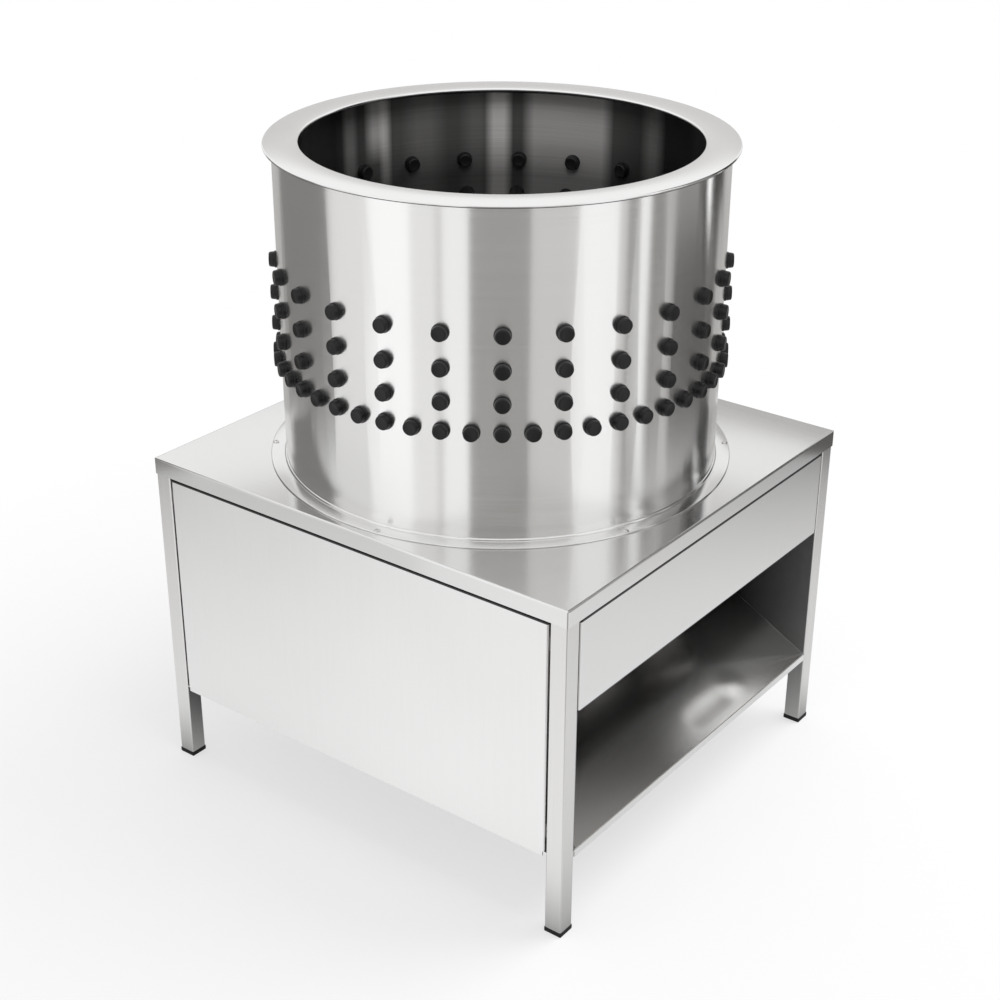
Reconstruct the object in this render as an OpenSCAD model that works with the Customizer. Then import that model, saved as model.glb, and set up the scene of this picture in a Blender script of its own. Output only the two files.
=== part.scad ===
// Drum poultry plucker on a square-legged table, with a belt-driven feather plate.
// Frame: +Z up, origin on the floor under the drum axis, feather outlet on +X.

/* [Table] */
// Width of the table top, left to right
table_w = 694; // [680:1:760]
// Depth of the table top, front to back
table_d = 654; // [645:1:720]
// Height of the table top above the floor
table_h = 480; // [450:1:540]
// Thickness of the sheet metal
sheet_t = 1.5; // [1:0.1:2]
// Outside radius of a sheet bend
bend_r = 2.5; // [2.2:0.1:4]
// Height of the folded skirt of the table top
skirt_h = 23.5; // [15:0.5:30]
// Width of the ledge that the drum stands on, inside its wall
drum_ledge = 8.5; // [5:0.5:15]

/* [Legs and frame] */
// Side of the square leg tube
leg_side = 25; // [22:1:35]
// Wall of the frame tubes
tube_t = 1.5; // [1:0.1:2.5]
// Height of the foot cap below the leg
foot_h = 7; // [4:0.5:20]
// Overhang of the foot cap beyond the leg
foot_lip = 0.5; // [0.2:0.1:2]
// Length of the foot cap's plug in the leg
plug_h = 15; // [8:1:30]
// Gap between the plug and the leg wall
plug_gap = 0.1; // [0.05:0.05:0.3]
// Side of the square top rails
rail_side = 20; // [15:1:25]
// Step from the leg's outer face back to the rail
rail_setback = 3; // [0:0.5:4]
// Width of the cross beams
beam_w = 30; // [25:1:40]
// Height of the cross beams
beam_h = 40; // [30:1:45]
// Distance of each cross beam from the drum axis
beam_y = 110; // [108:1:130]

/* [Panels] */
// Height of the panels' lower edge above the floor
panel_z = 116; // [90:1:118]
// Gap between the skirt and the panels
top_gap = 3; // [1:0.5:6]
// Gap between the legs and the panels
side_gap = 3; // [1:0.5:4]
// Depth of the panels' folded edges
fold = 15; // [10:1:25]
// Height of the lower edge of the outlet's apron
apron_z = 328; // [300:1:350]
// Height of the outlet's floor
floor_z = 122; // [120:1:140]
// Height of the floor's folded front lip
lip_h = 10; // [6:1:15]
// Gap between the ends of the lip and the legs
lip_gap = 2; // [0.5:0.5:4]
// Height of a panel clip
clip_h = 20; // [10:1:30]

/* [Drum] */
// Outer diameter of the drum wall
drum_d = 592; // [560:1:602]
// Thickness of the drum wall
drum_t = 1.5; // [1:0.1:2.5]
// Height of the drum from the table top to the top of the rim
drum_h = 434; // [400:1:480]
// Reach of the rim outside the drum wall
rim_out = 11; // [8:0.5:13]
// Reach of the rim inside the drum wall
rim_in = 35; // [25:0.5:45]
// Thickness of the rim's flat
rim_t = 1.5; // [1:0.1:3]
// Diameter of the rim's rounded edges
rim_bead_d = 4.5; // [3.5:0.1:6]
// Reach of the foot flange outside the drum wall
flange_out = 21; // [19:0.5:22]
// Thickness of the foot flange
flange_t = 2; // [1.5:0.1:4]
// Radius of the bead at the foot of the drum wall
foot_bead_r = 4; // [2:0.5:5]
// Number of screws in the foot flange
flange_screws = 6; // [4:1:12]
// Diameter of the flange screws
flange_screw_d = 4; // [3:0.5:5]

/* [Fingers] */
// Columns of wall fingers round the drum
columns = 25; // [16:1:28]
// Direction of the first column, counted from +X
first_column = -52.5; // [-180:0.5:180]
// Turn of the columns on the far side, largest opposite the first column
far_turn = 2.5; // [0:0.1:4]
// Number of fingers in the far upper row
rear_count = 8; // [1:1:12]
// Angle between the fingers of the far upper row
rear_step = 15.6; // [12:0.1:20]
// Height of the far upper row above the table top
rear_row_h = 324; // [318:1:370]
// Height of the top row above the table top
top_row_h = 274; // [268:1:280]
// Height of the second row above the table top
second_row_h = 229; // [224:1:236]
// Height of the third row above the table top
third_row_h = 186; // [182:1:192]
// Height of the bottom row above the table top
bottom_row_h = 148; // [144:1:154]
// Diameter of the collar of a finger's head
head_d = 21.8; // [20:0.1:26]
// Diameter of the cap of the head
cap_d = 21.2; // [20:0.1:26]
// Length of the cap of the head
cap_len = 5.6; // [4:0.1:10]
// Length of the collar between the cap's groove and the wall
collar_len = 3.8; // [3:0.1:8]
// Width of the groove in the head
head_groove = 0.9; // [0.6:0.1:3]
// Depth of the groove in the head
head_groove_depth = 1.2; // [0.6:0.1:3]
// Diameter of the neck in the sheet
neck_d = 17; // [14:0.5:18]
// Gap between the neck and its hole
neck_gap = 0.2; // [0.1:0.05:0.4]
// Diameter of the finger next to the sheet
finger_base_d = 20; // [18.6:0.2:23]
// Diameter of the finger's tip
finger_tip_d = 14; // [10:0.5:17]
// Length of the finger inside the sheet
finger_len = 40; // [30:1:50]
// Ribs along the finger
ribs = 5; // [3:1:7]
// Height of a rib
rib_h = 1; // [0.4:0.1:1.6]
// Length of the short inner ends of the far upper row
stub_len = 10.5; // [8:0.5:16]
// Length of the collar of a short inner end
stub_collar = 3.5; // [2:0.5:5]

/* [Feather plate] */
// Height of the plate's top above the table top
plate_h = 80; // [74:1:88]
// Thickness of the plate
plate_t = 4; // [3:0.5:6]
// Gap between the plate and the drum wall
plate_gap = 20.5; // [15:0.5:30]
// Fingers in the inner ring
inner_ring_n = 8; // [4:1:10]
// Fingers in the middle ring
middle_ring_n = 14; // [8:1:18]
// Fingers in the outer ring
outer_ring_n = 20; // [10:1:28]
// Distance of the outer ring from the plate's edge
ring_edge = 42; // [25:1:60]

/* [Shaft and bearings] */
// Diameter of the shaft in its bearings
shaft_d = 30; // [25:1:31]
// Diameter of the shaft between the bearings
shoulder_d = 36; // [34:0.5:38]
// Diameter of the shaft in the hub
hub_seat_d = 25; // [20:0.5:25]
// Length of the thread above the plate
thread_len = 21; // [18:0.5:24]
// Outer diameter of a bearing
bearing_d = 62; // [58:0.5:66]
// Width of a bearing
bearing_w = 16; // [14:0.5:18]
// Balls in a bearing
ball_n = 9; // [6:1:10]
// Diameter of a ball
ball_d = 9.5; // [8:0.1:10]
// Play between a ball and its races
ball_play = 0.05; // [0.02:0.01:0.1]
// Gap of a seated fit between fixed pieces
seat_gap = 0.02; // [0.01:0.01:0.05]
// Outer diameter of the bearing housing's body
housing_d = 84; // [80:0.5:88]
// Length of the bearing housing below the support plate
housing_drop = 54.5; // [50:0.5:57]
// Diameter of the housing's flange
housing_flange_d = 130; // [120:1:140]
// Thickness of the housing's flange
housing_flange_t = 10; // [8:0.5:14]
// Height of the housing's nose above its flange
nose_h = 15.5; // [13:0.5:17]
// Height of the shaft seal
seal_h = 6; // [4:0.5:8]
// Thickness of the support plate
support_t = 8; // [6:0.5:9]
// Width of the support plate, left to right
support_w = 170; // [150:1:190]
// Diameter of the hub's boss
hub_d = 56; // [46:1:64]
// Diameter of the hub's flange
hub_flange_d = 120; // [110:1:130]
// Thickness of the hub's flange
hub_flange_t = 8; // [6:0.5:10]
// Height of the hub
hub_h = 34; // [28:0.5:36]

/* [Belt drive] */
// Distance of the motor from the drum axis
motor_offset = 235; // [225:1:240]
// Pitch diameter of the driven pulley
driven_d = 224; // [200:1:230]
// Pitch diameter of the motor pulley
motor_pulley_d = 56; // [50:1:60]
// Distance of the belt's middle below the table top
belt_drop = 80; // [78:0.5:81]
// Top width of the belt
belt_w = 13; // [10:0.5:14]
// Height of the belt
belt_h = 8; // [6:0.5:8]
// Gap between the belt and the grooves
belt_gap = 0.3; // [0.2:0.05:0.5]
// Width of the pulley rims
pulley_w = 20; // [18:0.5:22]
// Gap between the driven pulley and the belt guard
guard_gap = 12; // [8:1:14]
// Radius of the belt guard round the motor pulley
guard_small_r = 72; // [68:1:74]
// Depth of the belt guard
guard_h = 52; // [44:0.5:54]

/* [Motor] */
// Diameter of the motor over its fins
motor_d = 132; // [120:1:136]
// Length of the motor's finned housing
motor_len = 160; // [140:1:165]
// Diameter of the motor shaft
motor_shaft_d = 19; // [16:0.5:20]
// Running gap of the motor shaft
shaft_gap = 0.05; // [0.02:0.01:0.1]
// Diameter of the motor's flange
motor_flange_d = 140; // [134:1:144]
// Thickness of the motor's flange
motor_flange_t = 12; // [10:0.5:15]
// Height of the fins
fin_h = 8; // [5:0.5:10]
// Number of fins
fins = 24; // [16:2:32]
// Height of the fan cover
fan_cover_h = 36; // [32:0.5:42]
// Thickness of the motor bracket
bracket_t = 5; // [4:0.5:6]
// Length of the motor bracket
bracket_len = 170; // [160:1:180]
// Distance of the bracket's underside below the table top
bracket_drop = 105; // [104:0.5:108]

/* [Switch] */
// Distance of the switch from the table's middle line
switch_y = -175; // [-220:1:-160]
// Distance of the switch below the table top
switch_drop = 90; // [85:1:170]
// Distance between the two buttons
button_pitch = 36; // [34:1:44]
// Diameter of a button
button_d = 21; // [16:0.5:24]
// Travel of a button
button_travel = 2.5; // [1.5:0.1:3.5]
// Gap round a button
button_gap = 0.3; // [0.2:0.05:0.5]
// Thickness of the switch's face plate
switch_face_t = 1.4; // [1:0.1:1.4]
// Bore of the cable gland
gland_bore_d = 10; // [6:0.5:12]

/* [Hidden] */
$fn = 64;
steel = "silver";
dark_steel = "dimgray";
rubber = "#222222";
cast_grey = "slategray";
eps = 0.01;
// Overshoot of a cut past the faces that it opens
cut = 1;
// Bolts and nuts of the frame, the housing, the hub and the motor
bolt_d = 8;
bolt_af = bolt_d + 5;
bolt_head_h = 0.66 * bolt_d;
bolt_nut_h = 0.8 * bolt_d;
bolt_end = 3;

leg_out_x = table_w / 2 - sheet_t;
leg_out_y = table_d / 2 - sheet_t;
leg_in_x = leg_out_x - leg_side;
leg_in_y = leg_out_y - leg_side;
under_top = table_h - sheet_t;
tube_in_r = 0.5;
foot_corner_r = 3;
// The legs stop under the inner radius of the skirt's bend
leg_top = under_top - (bend_r - sheet_t);
rail_out_x = leg_out_x - rail_setback;
rail_out_y = leg_out_y - rail_setback;
rail_in_x = rail_out_x - rail_side;
panel_top = table_h - skirt_h - top_gap;
// The panels' folded edges are notched below the rails
fold_top = min(panel_top, under_top - rail_side - cut);
fold_foot = floor_z + cut;
front_panel_w = 2 * (leg_in_x - side_gap);
side_panel_w = 2 * (leg_in_y - side_gap);
beam_z = under_top - beam_h;

drum_r = drum_d / 2;
drum_in_r = drum_r - drum_t;
hole_r = drum_in_r - drum_ledge;
rim_z = table_h + drum_h;
flange_screw_r = drum_r + flange_out - 1.25 * flange_screw_d;
screw_head_h = 2.2;
screw_len = 8;
screw_gap = 0.2;

head_len = cap_len + head_groove + collar_len;
cap_edge = 1.5;
// Flat seats of a finger clear the curved wall by this much
seat_clear = 0.05;
finger_seat_in = sqrt(pow(drum_in_r, 2) - pow(finger_base_d / 2, 2)) - seat_clear;
wall_neck = drum_r + seat_clear - finger_seat_in;
stub_seat_in = sqrt(pow(drum_in_r, 2) - pow(head_d / 2, 2)) - seat_clear;
stub_neck = drum_r + seat_clear - stub_seat_in;
plate_neck = plate_t + 2 * seat_clear;

plate_z = table_h + plate_h - plate_t;
plate_top = table_h + plate_h;
plate_r = drum_in_r - plate_gap;
outer_ring_r = plate_r - ring_edge;
inner_ring_r = hub_flange_d / 2 + head_d;
middle_ring_r = (inner_ring_r + outer_ring_r) / 2;

support_top = under_top + support_t;
support_d = 2 * (beam_y + beam_w / 2);
nose_top = support_top + housing_flange_t + nose_h;
housing_foot = under_top - housing_drop;
upper_bearing_z = nose_top - seal_h - bearing_w;
lower_ring_t = 2;
lower_ring_lip = 1.5;
lower_bearing_z = housing_foot + 2 * lower_ring_t;
bearing_pitch_r = (bearing_d + shaft_d) / 4;
bearing_shoulder = 0.33 * ball_d;
housing_bolt_r = (housing_d + housing_flange_d) / 4;
retaining_ring_w = 4;
seal_web = 2.5;
cage_t = 1.2;
cage_edge = 1;

hub_z = plate_z - hub_h;
hub_bolts = 6;
clamp_lip = 2;
clamp_r = hub_d / 2 + clamp_lip;
hub_bolt_r = (clamp_r + hub_flange_d / 2) / 2;
clamp_t = 3;
nut_af = hub_seat_d + 11;
nut_h = 14;
nut_dome_r = 0.47 * nut_af;
nut_wall = 11;

belt_z = table_h - belt_drop;
driven_r = driven_d / 2;
motor_pulley_r = motor_pulley_d / 2;
belt_out = 0.34 * belt_h;
belt_slope = tan(20);
belt_lean = asin((driven_r - motor_pulley_r) / motor_offset);
belt_run = motor_offset * cos(belt_lean);
groove_floor = 1.5;
rim_over = belt_out + groove_floor;
pulley_hub_wall = 15;
pulley_hub_d = shaft_d + 2 * pulley_hub_wall;
pulley_hub_drop = 4;
pulley_hub_len = 34;
pulley_foot = belt_z - pulley_w / 2 - pulley_hub_drop;
pulley_hub_top = pulley_foot + pulley_hub_len;
pulley_rim_t = 8;
pulley_web_t = 8;
pulley_web_holes = 5;
pulley_bolt_d = 10;
pulley_bolt_len = 30;
pulley_bolt_af = pulley_bolt_d + 7;
pulley_bolt_head_h = 0.64 * pulley_bolt_d;
pulley_washer_t = 4;
pulley_washer_lip = 7;
guard_r = driven_r + rim_over + guard_gap;
guard_hole_gap = 3;
guard_hole_r = housing_d / 2 + guard_hole_gap;
guard_screw_d = 5;
guard_screw_head_h = 3;
guard_screw_len = 12;
guard_screw_x = 30;
shaft_foot = pulley_foot;
key_w = 8;
key_h = 7;
key_gap = 0.05;
hub_key_len = 24;
pulley_key_len = 26;
key_end = 2;

bracket_z = table_h - bracket_drop;
bracket_in_y = beam_y - bracket_t;
motor_top = bracket_z;
motor_core_r = motor_d / 2 - fin_h;
motor_body_top = motor_top - motor_flange_t;
motor_body_z = motor_body_top - motor_len;
motor_bolt_edge = 12.5;
motor_bolt_r = motor_flange_d / 2 - motor_bolt_edge;
pilot_r = 40;
fin_t = 2.5;
shaft_end = 3;
fan_cover_t = 1.5;
fan_cover_z = motor_body_z - fan_cover_h;
fan_gap = 4;
fan_z = fan_cover_z + fan_cover_t + fan_gap;
fan_blades = 8;
blade_t = 2;
fan_hub_wall = 7;
vent_w = 5;
vent_pitch = 13;
vent_n = 7;
vent_len = 73;
box_w = 60;
box_h = 80;
box_depth = 34;
box_face = motor_core_r + box_depth;
box_z = motor_body_z + motor_len / 3;
box_lid_t = 4;
box_lid_lip = 2;
cover_gap = 2;
cover_end_gap = 7;
cover_y = beam_y + cover_gap;
cover_x = bracket_len / 2 - motor_offset + cover_end_gap;
cover_top = bracket_z - cover_gap;
louvre_n = 6;
louvre_w = 80;
louvre_h = 6;
louvre_pitch = 16;
louvre_z = 40;

button_len = 22;
button_collar = 2;
switch_x = -leg_out_x;
switch_z = table_h - switch_drop;
switch_wall = 7;
switch_body_w = button_d + 2 * switch_wall;
switch_body_h = button_pitch + button_d + 2 * switch_wall;
switch_body_r = 2;
switch_depth = 42;
switch_face_lip = 4;
switch_face_r = 6;
gland_beside = 60;
gland_x = -(motor_offset + gland_beside);
gland_y = 55;
gland_wall = 3;
gland_thread_d = gland_bore_d + 2 * gland_wall;
gland_af = gland_thread_d + 8;
gland_hex_h = 9;
gland_dome_h = 12;
gland_dome_d = gland_af - 2;
gland_thread_len = 9;
gland_nut_h = 5;
gland_foot = floor_z - sheet_t - gland_hex_h - gland_dome_h;

// Shapes that repeat

module rounded_rect(w, d, r) {
    square([w - 2 * r, d], center = true);
    square([w, d - 2 * r], center = true);
    for (x = [-1, 1], y = [-1, 1])
        translate([x * (w / 2 - r), y * (d / 2 - r)]) circle(r);
}

// Copies on the four legs, each turned outward from the middle
module at_legs() {
    for (x = [-1, 1], y = [-1, 1])
        translate([x * (leg_out_x - leg_side / 2), y * (leg_out_y - leg_side / 2), 0]) children();
}

module tube(w, d, length) {
    linear_extrude(length) difference() {
        rounded_rect(w, d, tube_t + tube_in_r);
        rounded_rect(w - 2 * tube_t, d - 2 * tube_t, tube_in_r);
    }
}

// A tray turned upside down, with bent edges all round
module bent_tray(w, d, h, r) {
    intersection() {
        linear_extrude(h) rounded_rect(w, d, r);
        rotate([90, 0, 90]) linear_extrude(w, center = true) bent_section(d, h, r);
        rotate([90, 0, 0]) linear_extrude(d, center = true) bent_section(w, h, r);
    }
}

module bent_section(w, h, r) {
    translate([-w / 2, 0]) square([w, h - r]);
    translate([-w / 2 + r, 0]) square([w - 2 * r, h]);
    for (x = [-1, 1]) translate([x * (w / 2 - r), h - r]) circle(r);
}

// A folded panel standing on the plane y = 0, which is its outer face
module folded_panel(w, z0, fold_z) {
    translate([0, 0, fold_z]) linear_extrude(fold_top - fold_z) intersection() {
        translate([0, fold]) difference() {
            rounded_rect(w, 2 * fold, bend_r);
            rounded_rect(w - 2 * sheet_t, 2 * (fold - sheet_t), bend_r - sheet_t);
        }
        translate([-w / 2, 0]) square([w, fold]);
    }
    for (edge = [[z0, fold_z + eps], [fold_top - eps, panel_top]])
        if (edge[1] - edge[0] > 2 * eps)
            translate([bend_r - w / 2, 0, edge[0]]) cube([w - 2 * bend_r, sheet_t, edge[1] - edge[0]]);
}

module hex_prism(af, h) {
    cylinder(d = af / cos(30), h = h, $fn = 6);
}

// A frame bolt hanging from the underside of its head
module bolt(length) {
    translate([0, 0, -length]) cylinder(d = bolt_d, h = length);
    hex_prism(bolt_af, bolt_head_h);
}

// A frame bolt with its nut, clamping a grip
module nut_and_bolt(grip) {
    bolt(grip + bolt_nut_h + bolt_end);
    translate([0, 0, -grip - bolt_nut_h]) hex_prism(bolt_af, bolt_nut_h);
}

// The hole that a frame bolt passes, long enough for every pair of sheets it clamps
module bolt_hole(length) {
    cylinder(d = bolt_d + 2 * screw_gap, h = length, center = true);
}

// Teardrop round the two pulleys, as a plate
module teardrop(big, small) {
    lean_x = -(big - small) / motor_offset;
    lean_y = sqrt(1 - lean_x * lean_x);
    circle(big);
    translate([-motor_offset, 0]) circle(small);
    polygon([[big * lean_x, big * lean_y], [small * lean_x - motor_offset, small * lean_y],
        [small * lean_x - motor_offset, -small * lean_y], [big * lean_x, -big * lean_y]]);
}

// Fingers

// Radius of the ribbed finger at a distance from its seat
function finger_r(s) = (finger_base_d + (finger_tip_d - finger_base_d) * s / finger_len) / 2;

// Outline of the ribbed inner end, from the tip to the sheet: x is the radius
function ribbed_end() =
    let (tip_r = finger_tip_d / 2, rib_pitch = (finger_len - tip_r) / (ribs + 0.5))
    concat(
        [for (a = [90 : -45 : 0]) [tip_r * cos(a), tip_r - finger_len - tip_r * sin(a)]],
        [for (i = [ribs : -1 : 1], p = [[1, 0], [0.5, rib_h]])
            let (s = (i - 1 + p[0]) * rib_pitch) [finger_r(s) + p[1], -s]],
        [[finger_base_d / 2, 0]]);

// Outline of a two-step end, from the sheet to its rounded top
function stepped_end(collar, length) =
    let (collar_r = head_d / 2, groove_r = collar_r - head_groove_depth, cap_r = cap_d / 2,
        cap_foot = collar + head_groove)
    concat(
        [[collar_r, 0], [collar_r, collar], [groove_r, collar], [groove_r, cap_foot], [cap_r, cap_foot]],
        [for (a = [0 : 45 : 90]) [cap_r - cap_edge * (1 - cos(a)), length - cap_edge * (1 - sin(a))]],
        [[0, length]]);

// Outline of the short inner end, from its top to the sheet
function stub_end() =
    let (points = stepped_end(stub_collar, stub_len))
    [for (i = [len(points) - 1 : -1 : 0]) [points[i][0], -points[i][1]]];

// One finger along z: its inner end below the sheet, its neck and its head above
module finger(inner_end, neck) {
    color(rubber) rotate_extrude() polygon(concat(
        inner_end,
        [[neck_d / 2, 0], [neck_d / 2, neck]],
        [for (p = stepped_end(collar_len, head_len)) [p[0], p[1] + neck]]));
}

// Turned and lifted so that z runs outwards from the drum axis
module at_wall(turn, row_h) {
    rotate([0, 0, first_column + turn]) translate([0, 0, table_h + row_h]) rotate([0, 90, 0]) children();
}

// Places of a full row of wall fingers
module at_row(count, row_h) {
    for (i = [0 : count - 1])
        at_wall(i * 360 / count + far_turn * max(0, -cos(i * 360 / count)), row_h) children();
}

// Places of the far upper row
module at_rear_row() {
    for (i = [0 : rear_count - 1])
        at_wall(180 + far_turn + (i - (rear_count - 1) / 2) * rear_step, rear_row_h) children();
}

module wall_row(count, row_h) {
    at_row(count, row_h) translate([0, 0, finger_seat_in]) finger(ribbed_end(), wall_neck);
}

// The far upper row, whose inner ends are short
module rear_row() {
    at_rear_row() translate([0, 0, stub_seat_in]) finger(stub_end(), stub_neck);
}

// The hole that a wall finger sits in
module wall_hole() {
    translate([0, 0, drum_r - 4 * drum_t]) cylinder(d = neck_d + 2 * neck_gap, h = 8 * drum_t);
}

module plate_ring(count, ring_r) {
    for (i = [0 : count - 1])
        rotate([0, 0, i * 360 / count])
            translate([ring_r, 0, plate_top + seat_clear])
                rotate([180, 0, 0]) finger(ribbed_end(), plate_neck);
}

module plate_ring_holes(count, ring_r) {
    for (i = [0 : count - 1])
        rotate([0, 0, i * 360 / count])
            translate([ring_r, 0, plate_z - cut])
                cylinder(d = neck_d + 2 * neck_gap, h = plate_t + 2 * cut);
}

// Table and frame

module table_top() {
    color(steel) difference() {
        translate([0, 0, table_h - skirt_h]) difference() {
            bent_tray(table_w, table_d, skirt_h, bend_r);
            translate([0, 0, -eps]) bent_tray(table_w - 2 * sheet_t, table_d - 2 * sheet_t,
                skirt_h - sheet_t + eps, bend_r - sheet_t);
        }
        translate([0, 0, table_h - skirt_h]) cylinder(r = hole_r, h = 2 * skirt_h);
        flange_screw_holes();
    }
}

module legs() {
    color(steel) at_legs() translate([0, 0, foot_h]) tube(leg_side, leg_side, leg_top - foot_h);
}

module foot_caps() {
    plug = leg_side - 2 * (tube_t + plug_gap);
    color(rubber) at_legs() {
        linear_extrude(foot_h)
            rounded_rect(leg_side + 2 * foot_lip, leg_side + 2 * foot_lip, foot_corner_r);
        linear_extrude(foot_h + plug_h) rounded_rect(plug, plug, tube_in_r);
    }
}

module top_rails() {
    mid_z = under_top - rail_side / 2;
    color(steel) difference() {
        for (side = [-1, 1]) {
            translate([-leg_in_x, side * (rail_out_y - rail_side / 2), mid_z])
                rotate([90, 0, 90]) tube(rail_side, rail_side, 2 * leg_in_x);
            translate([side * (rail_out_x - rail_side / 2), leg_in_y, mid_z])
                rotate([90, 0, 0]) tube(rail_side, rail_side, 2 * leg_in_y);
        }
        flange_screw_holes();
    }
}

module cross_beams() {
    color(steel) difference() {
        for (side = [-1, 1])
            translate([-rail_in_x, side * beam_y, beam_z + beam_h / 2])
                rotate([90, 0, 90]) tube(beam_w, beam_h, 2 * rail_in_x);
        bracket_bolt_places() bolt_hole(4 * tube_t);
        guard_screw_places() cylinder(d = guard_screw_d + 2 * screw_gap, h = 4 * tube_t, center = true);
        flange_screw_holes();
    }
}

// Panels

module front_panel() {
    color(steel) translate([0, -leg_out_y, 0])
        folded_panel(front_panel_w, panel_z, fold_foot);
}

module back_panel() {
    rotate([0, 0, 180]) front_panel();
}

module left_panel() {
    color(steel) difference() {
        rotate([0, 0, -90]) translate([0, -leg_out_x, 0])
            folded_panel(side_panel_w, panel_z, fold_foot);
        translate([switch_x, switch_y, switch_z]) rotate([0, 90, 0])
            linear_extrude(4 * sheet_t, center = true) rounded_rect(switch_body_h + 2 * screw_gap,
                switch_body_w + 2 * screw_gap, switch_body_r);
    }
}

module outlet_apron() {
    color(steel) rotate([0, 0, 90]) translate([0, -leg_out_x, 0]) {
        folded_panel(side_panel_w, apron_z, apron_z);
        translate([sheet_t - side_panel_w / 2, sheet_t - eps, apron_z])
            cube([side_panel_w - 2 * sheet_t, fold - sheet_t + eps, sheet_t]);
    }
}

module outlet_floor() {
    in_x = leg_out_x - sheet_t;
    in_y = leg_out_y - sheet_t;
    lip_w = 2 * (leg_in_y - lip_gap);
    color(steel) difference() {
        union() {
            translate([-in_x, -in_y, floor_z - sheet_t]) cube([2 * in_x + sheet_t, 2 * in_y, sheet_t]);
            translate([in_x, -lip_w / 2, floor_z - lip_h]) cube([sheet_t, lip_w, lip_h]);
        }
        at_legs() cube([leg_side, leg_side, 2 * (floor_z + cut)], center = true);
        translate([gland_x, gland_y, floor_z - 2 * sheet_t])
            cylinder(d = gland_thread_d + 2 * screw_gap, h = 4 * sheet_t);
    }
}

// Spacers that hold a panel's folded edges to the legs
module clip_pair(half_w, z0) {
    for (side = [-1, 1], z = [z0 + clip_h, panel_top - 2 * clip_h])
        translate([side < 0 ? -half_w - side_gap : half_w, fold / 3, z])
            cube([side_gap, fold / 2, clip_h]);
}

module panel_clips() {
    color(dark_steel) {
        for (turn = [0, 180]) rotate([0, 0, turn]) translate([0, -leg_out_y, 0])
            clip_pair(front_panel_w / 2, floor_z);
        rotate([0, 0, -90]) translate([0, -leg_out_x, 0]) clip_pair(side_panel_w / 2, floor_z);
        rotate([0, 0, 90]) translate([0, -leg_out_x, 0]) clip_pair(side_panel_w / 2, apron_z);
    }
}

// Drum

module drum_wall() {
    color(steel) difference() {
        translate([0, 0, table_h]) cylinder(r = drum_r, h = drum_h - rim_t, $fn = 180);
        translate([0, 0, table_h - cut]) cylinder(r = drum_in_r, h = drum_h + cut, $fn = 180);
        for (row_h = [top_row_h, second_row_h, third_row_h]) at_row(columns, row_h) wall_hole();
        at_row(2 * columns, bottom_row_h) wall_hole();
        at_rear_row() wall_hole();
    }
}

module drum_rim() {
    bead_r = rim_bead_d / 2;
    out_r = drum_r + rim_out - bead_r;
    in_r = drum_r - rim_in + bead_r;
    color(steel) rotate_extrude($fn = 180) {
        translate([in_r, rim_z - rim_t]) square([out_r - in_r, rim_t]);
        translate([in_r, rim_z - bead_r]) circle(bead_r);
        translate([out_r, rim_z - bead_r]) circle(bead_r);
    }
}

module drum_flange() {
    color(steel) difference() {
        rotate_extrude($fn = 180) translate([drum_r + seat_gap, table_h]) {
            square([flange_out - seat_gap - flange_t / 2, flange_t]);
            translate([flange_out - seat_gap - flange_t / 2, flange_t / 2]) circle(flange_t / 2);
            intersection() {
                translate([0, flange_t]) circle(foot_bead_r);
                square(2 * foot_bead_r + flange_t);
            }
        }
        flange_screw_holes();
    }
}

module flange_screw_places() {
    for (i = [0 : flange_screws - 1])
        rotate([0, 0, first_column + 90 + i * 360 / flange_screws])
            translate([flange_screw_r, 0, table_h + flange_t]) children();
}

module flange_screw_holes() {
    flange_screw_places() cylinder(d = flange_screw_d + 2 * screw_gap, h = 4 * (flange_t + sheet_t),
        center = true);
}

module flange_screws() {
    color(steel) flange_screw_places() rotate_extrude() {
        translate([0, -screw_len]) square([flange_screw_d / 2, screw_len]);
        intersection() {
            translate([0, -flange_screw_d]) circle(flange_screw_d + screw_head_h);
            square([flange_screw_d, screw_head_h]);
        }
    }
}

// Bearings and shaft

module support_plate() {
    color(steel) difference() {
        translate([-support_w / 2, -support_d / 2, under_top]) cube([support_w, support_d, support_t]);
        translate([0, 0, under_top - cut]) cylinder(d = housing_d + 2 * screw_gap, h = support_t + 2 * cut);
        housing_bolt_places() bolt_hole(4 * (support_t + housing_flange_t));
    }
}

module housing_bolt_places() {
    for (i = [0 : 3])
        rotate([0, 0, 45 + i * 90]) translate([housing_bolt_r, 0, support_top + housing_flange_t]) children();
}

module bearing_housing() {
    seat_r = bearing_d / 2 + seat_gap;
    relief_r = seat_r - lower_ring_t;
    color(cast_grey) difference() {
        union() {
            translate([0, 0, housing_foot]) cylinder(d = housing_d, h = nose_top - housing_foot);
            translate([0, 0, support_top]) cylinder(d = housing_flange_d, h = housing_flange_t);
        }
        translate([0, 0, housing_foot - cut]) cylinder(r = relief_r, h = nose_top - housing_foot + 2 * cut);
        translate([0, 0, upper_bearing_z]) cylinder(r = seat_r, h = nose_top);
        translate([0, 0, housing_foot - cut])
            cylinder(r = seat_r, h = lower_bearing_z + bearing_w - housing_foot + cut);
        translate([0, 0, housing_foot + lower_ring_t])
            cylinder(r = seat_r + lower_ring_lip, h = lower_ring_t);
        housing_bolt_places() bolt_hole(4 * (support_t + housing_flange_t));
    }
}

module housing_bolts() {
    color(dark_steel) housing_bolt_places() nut_and_bolt(housing_flange_t + support_t);
}

// Copies at the two bearings, with the origin at a bearing's lower face
module at_bearings() {
    for (z = [lower_bearing_z, upper_bearing_z]) translate([0, 0, z]) children();
}

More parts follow.
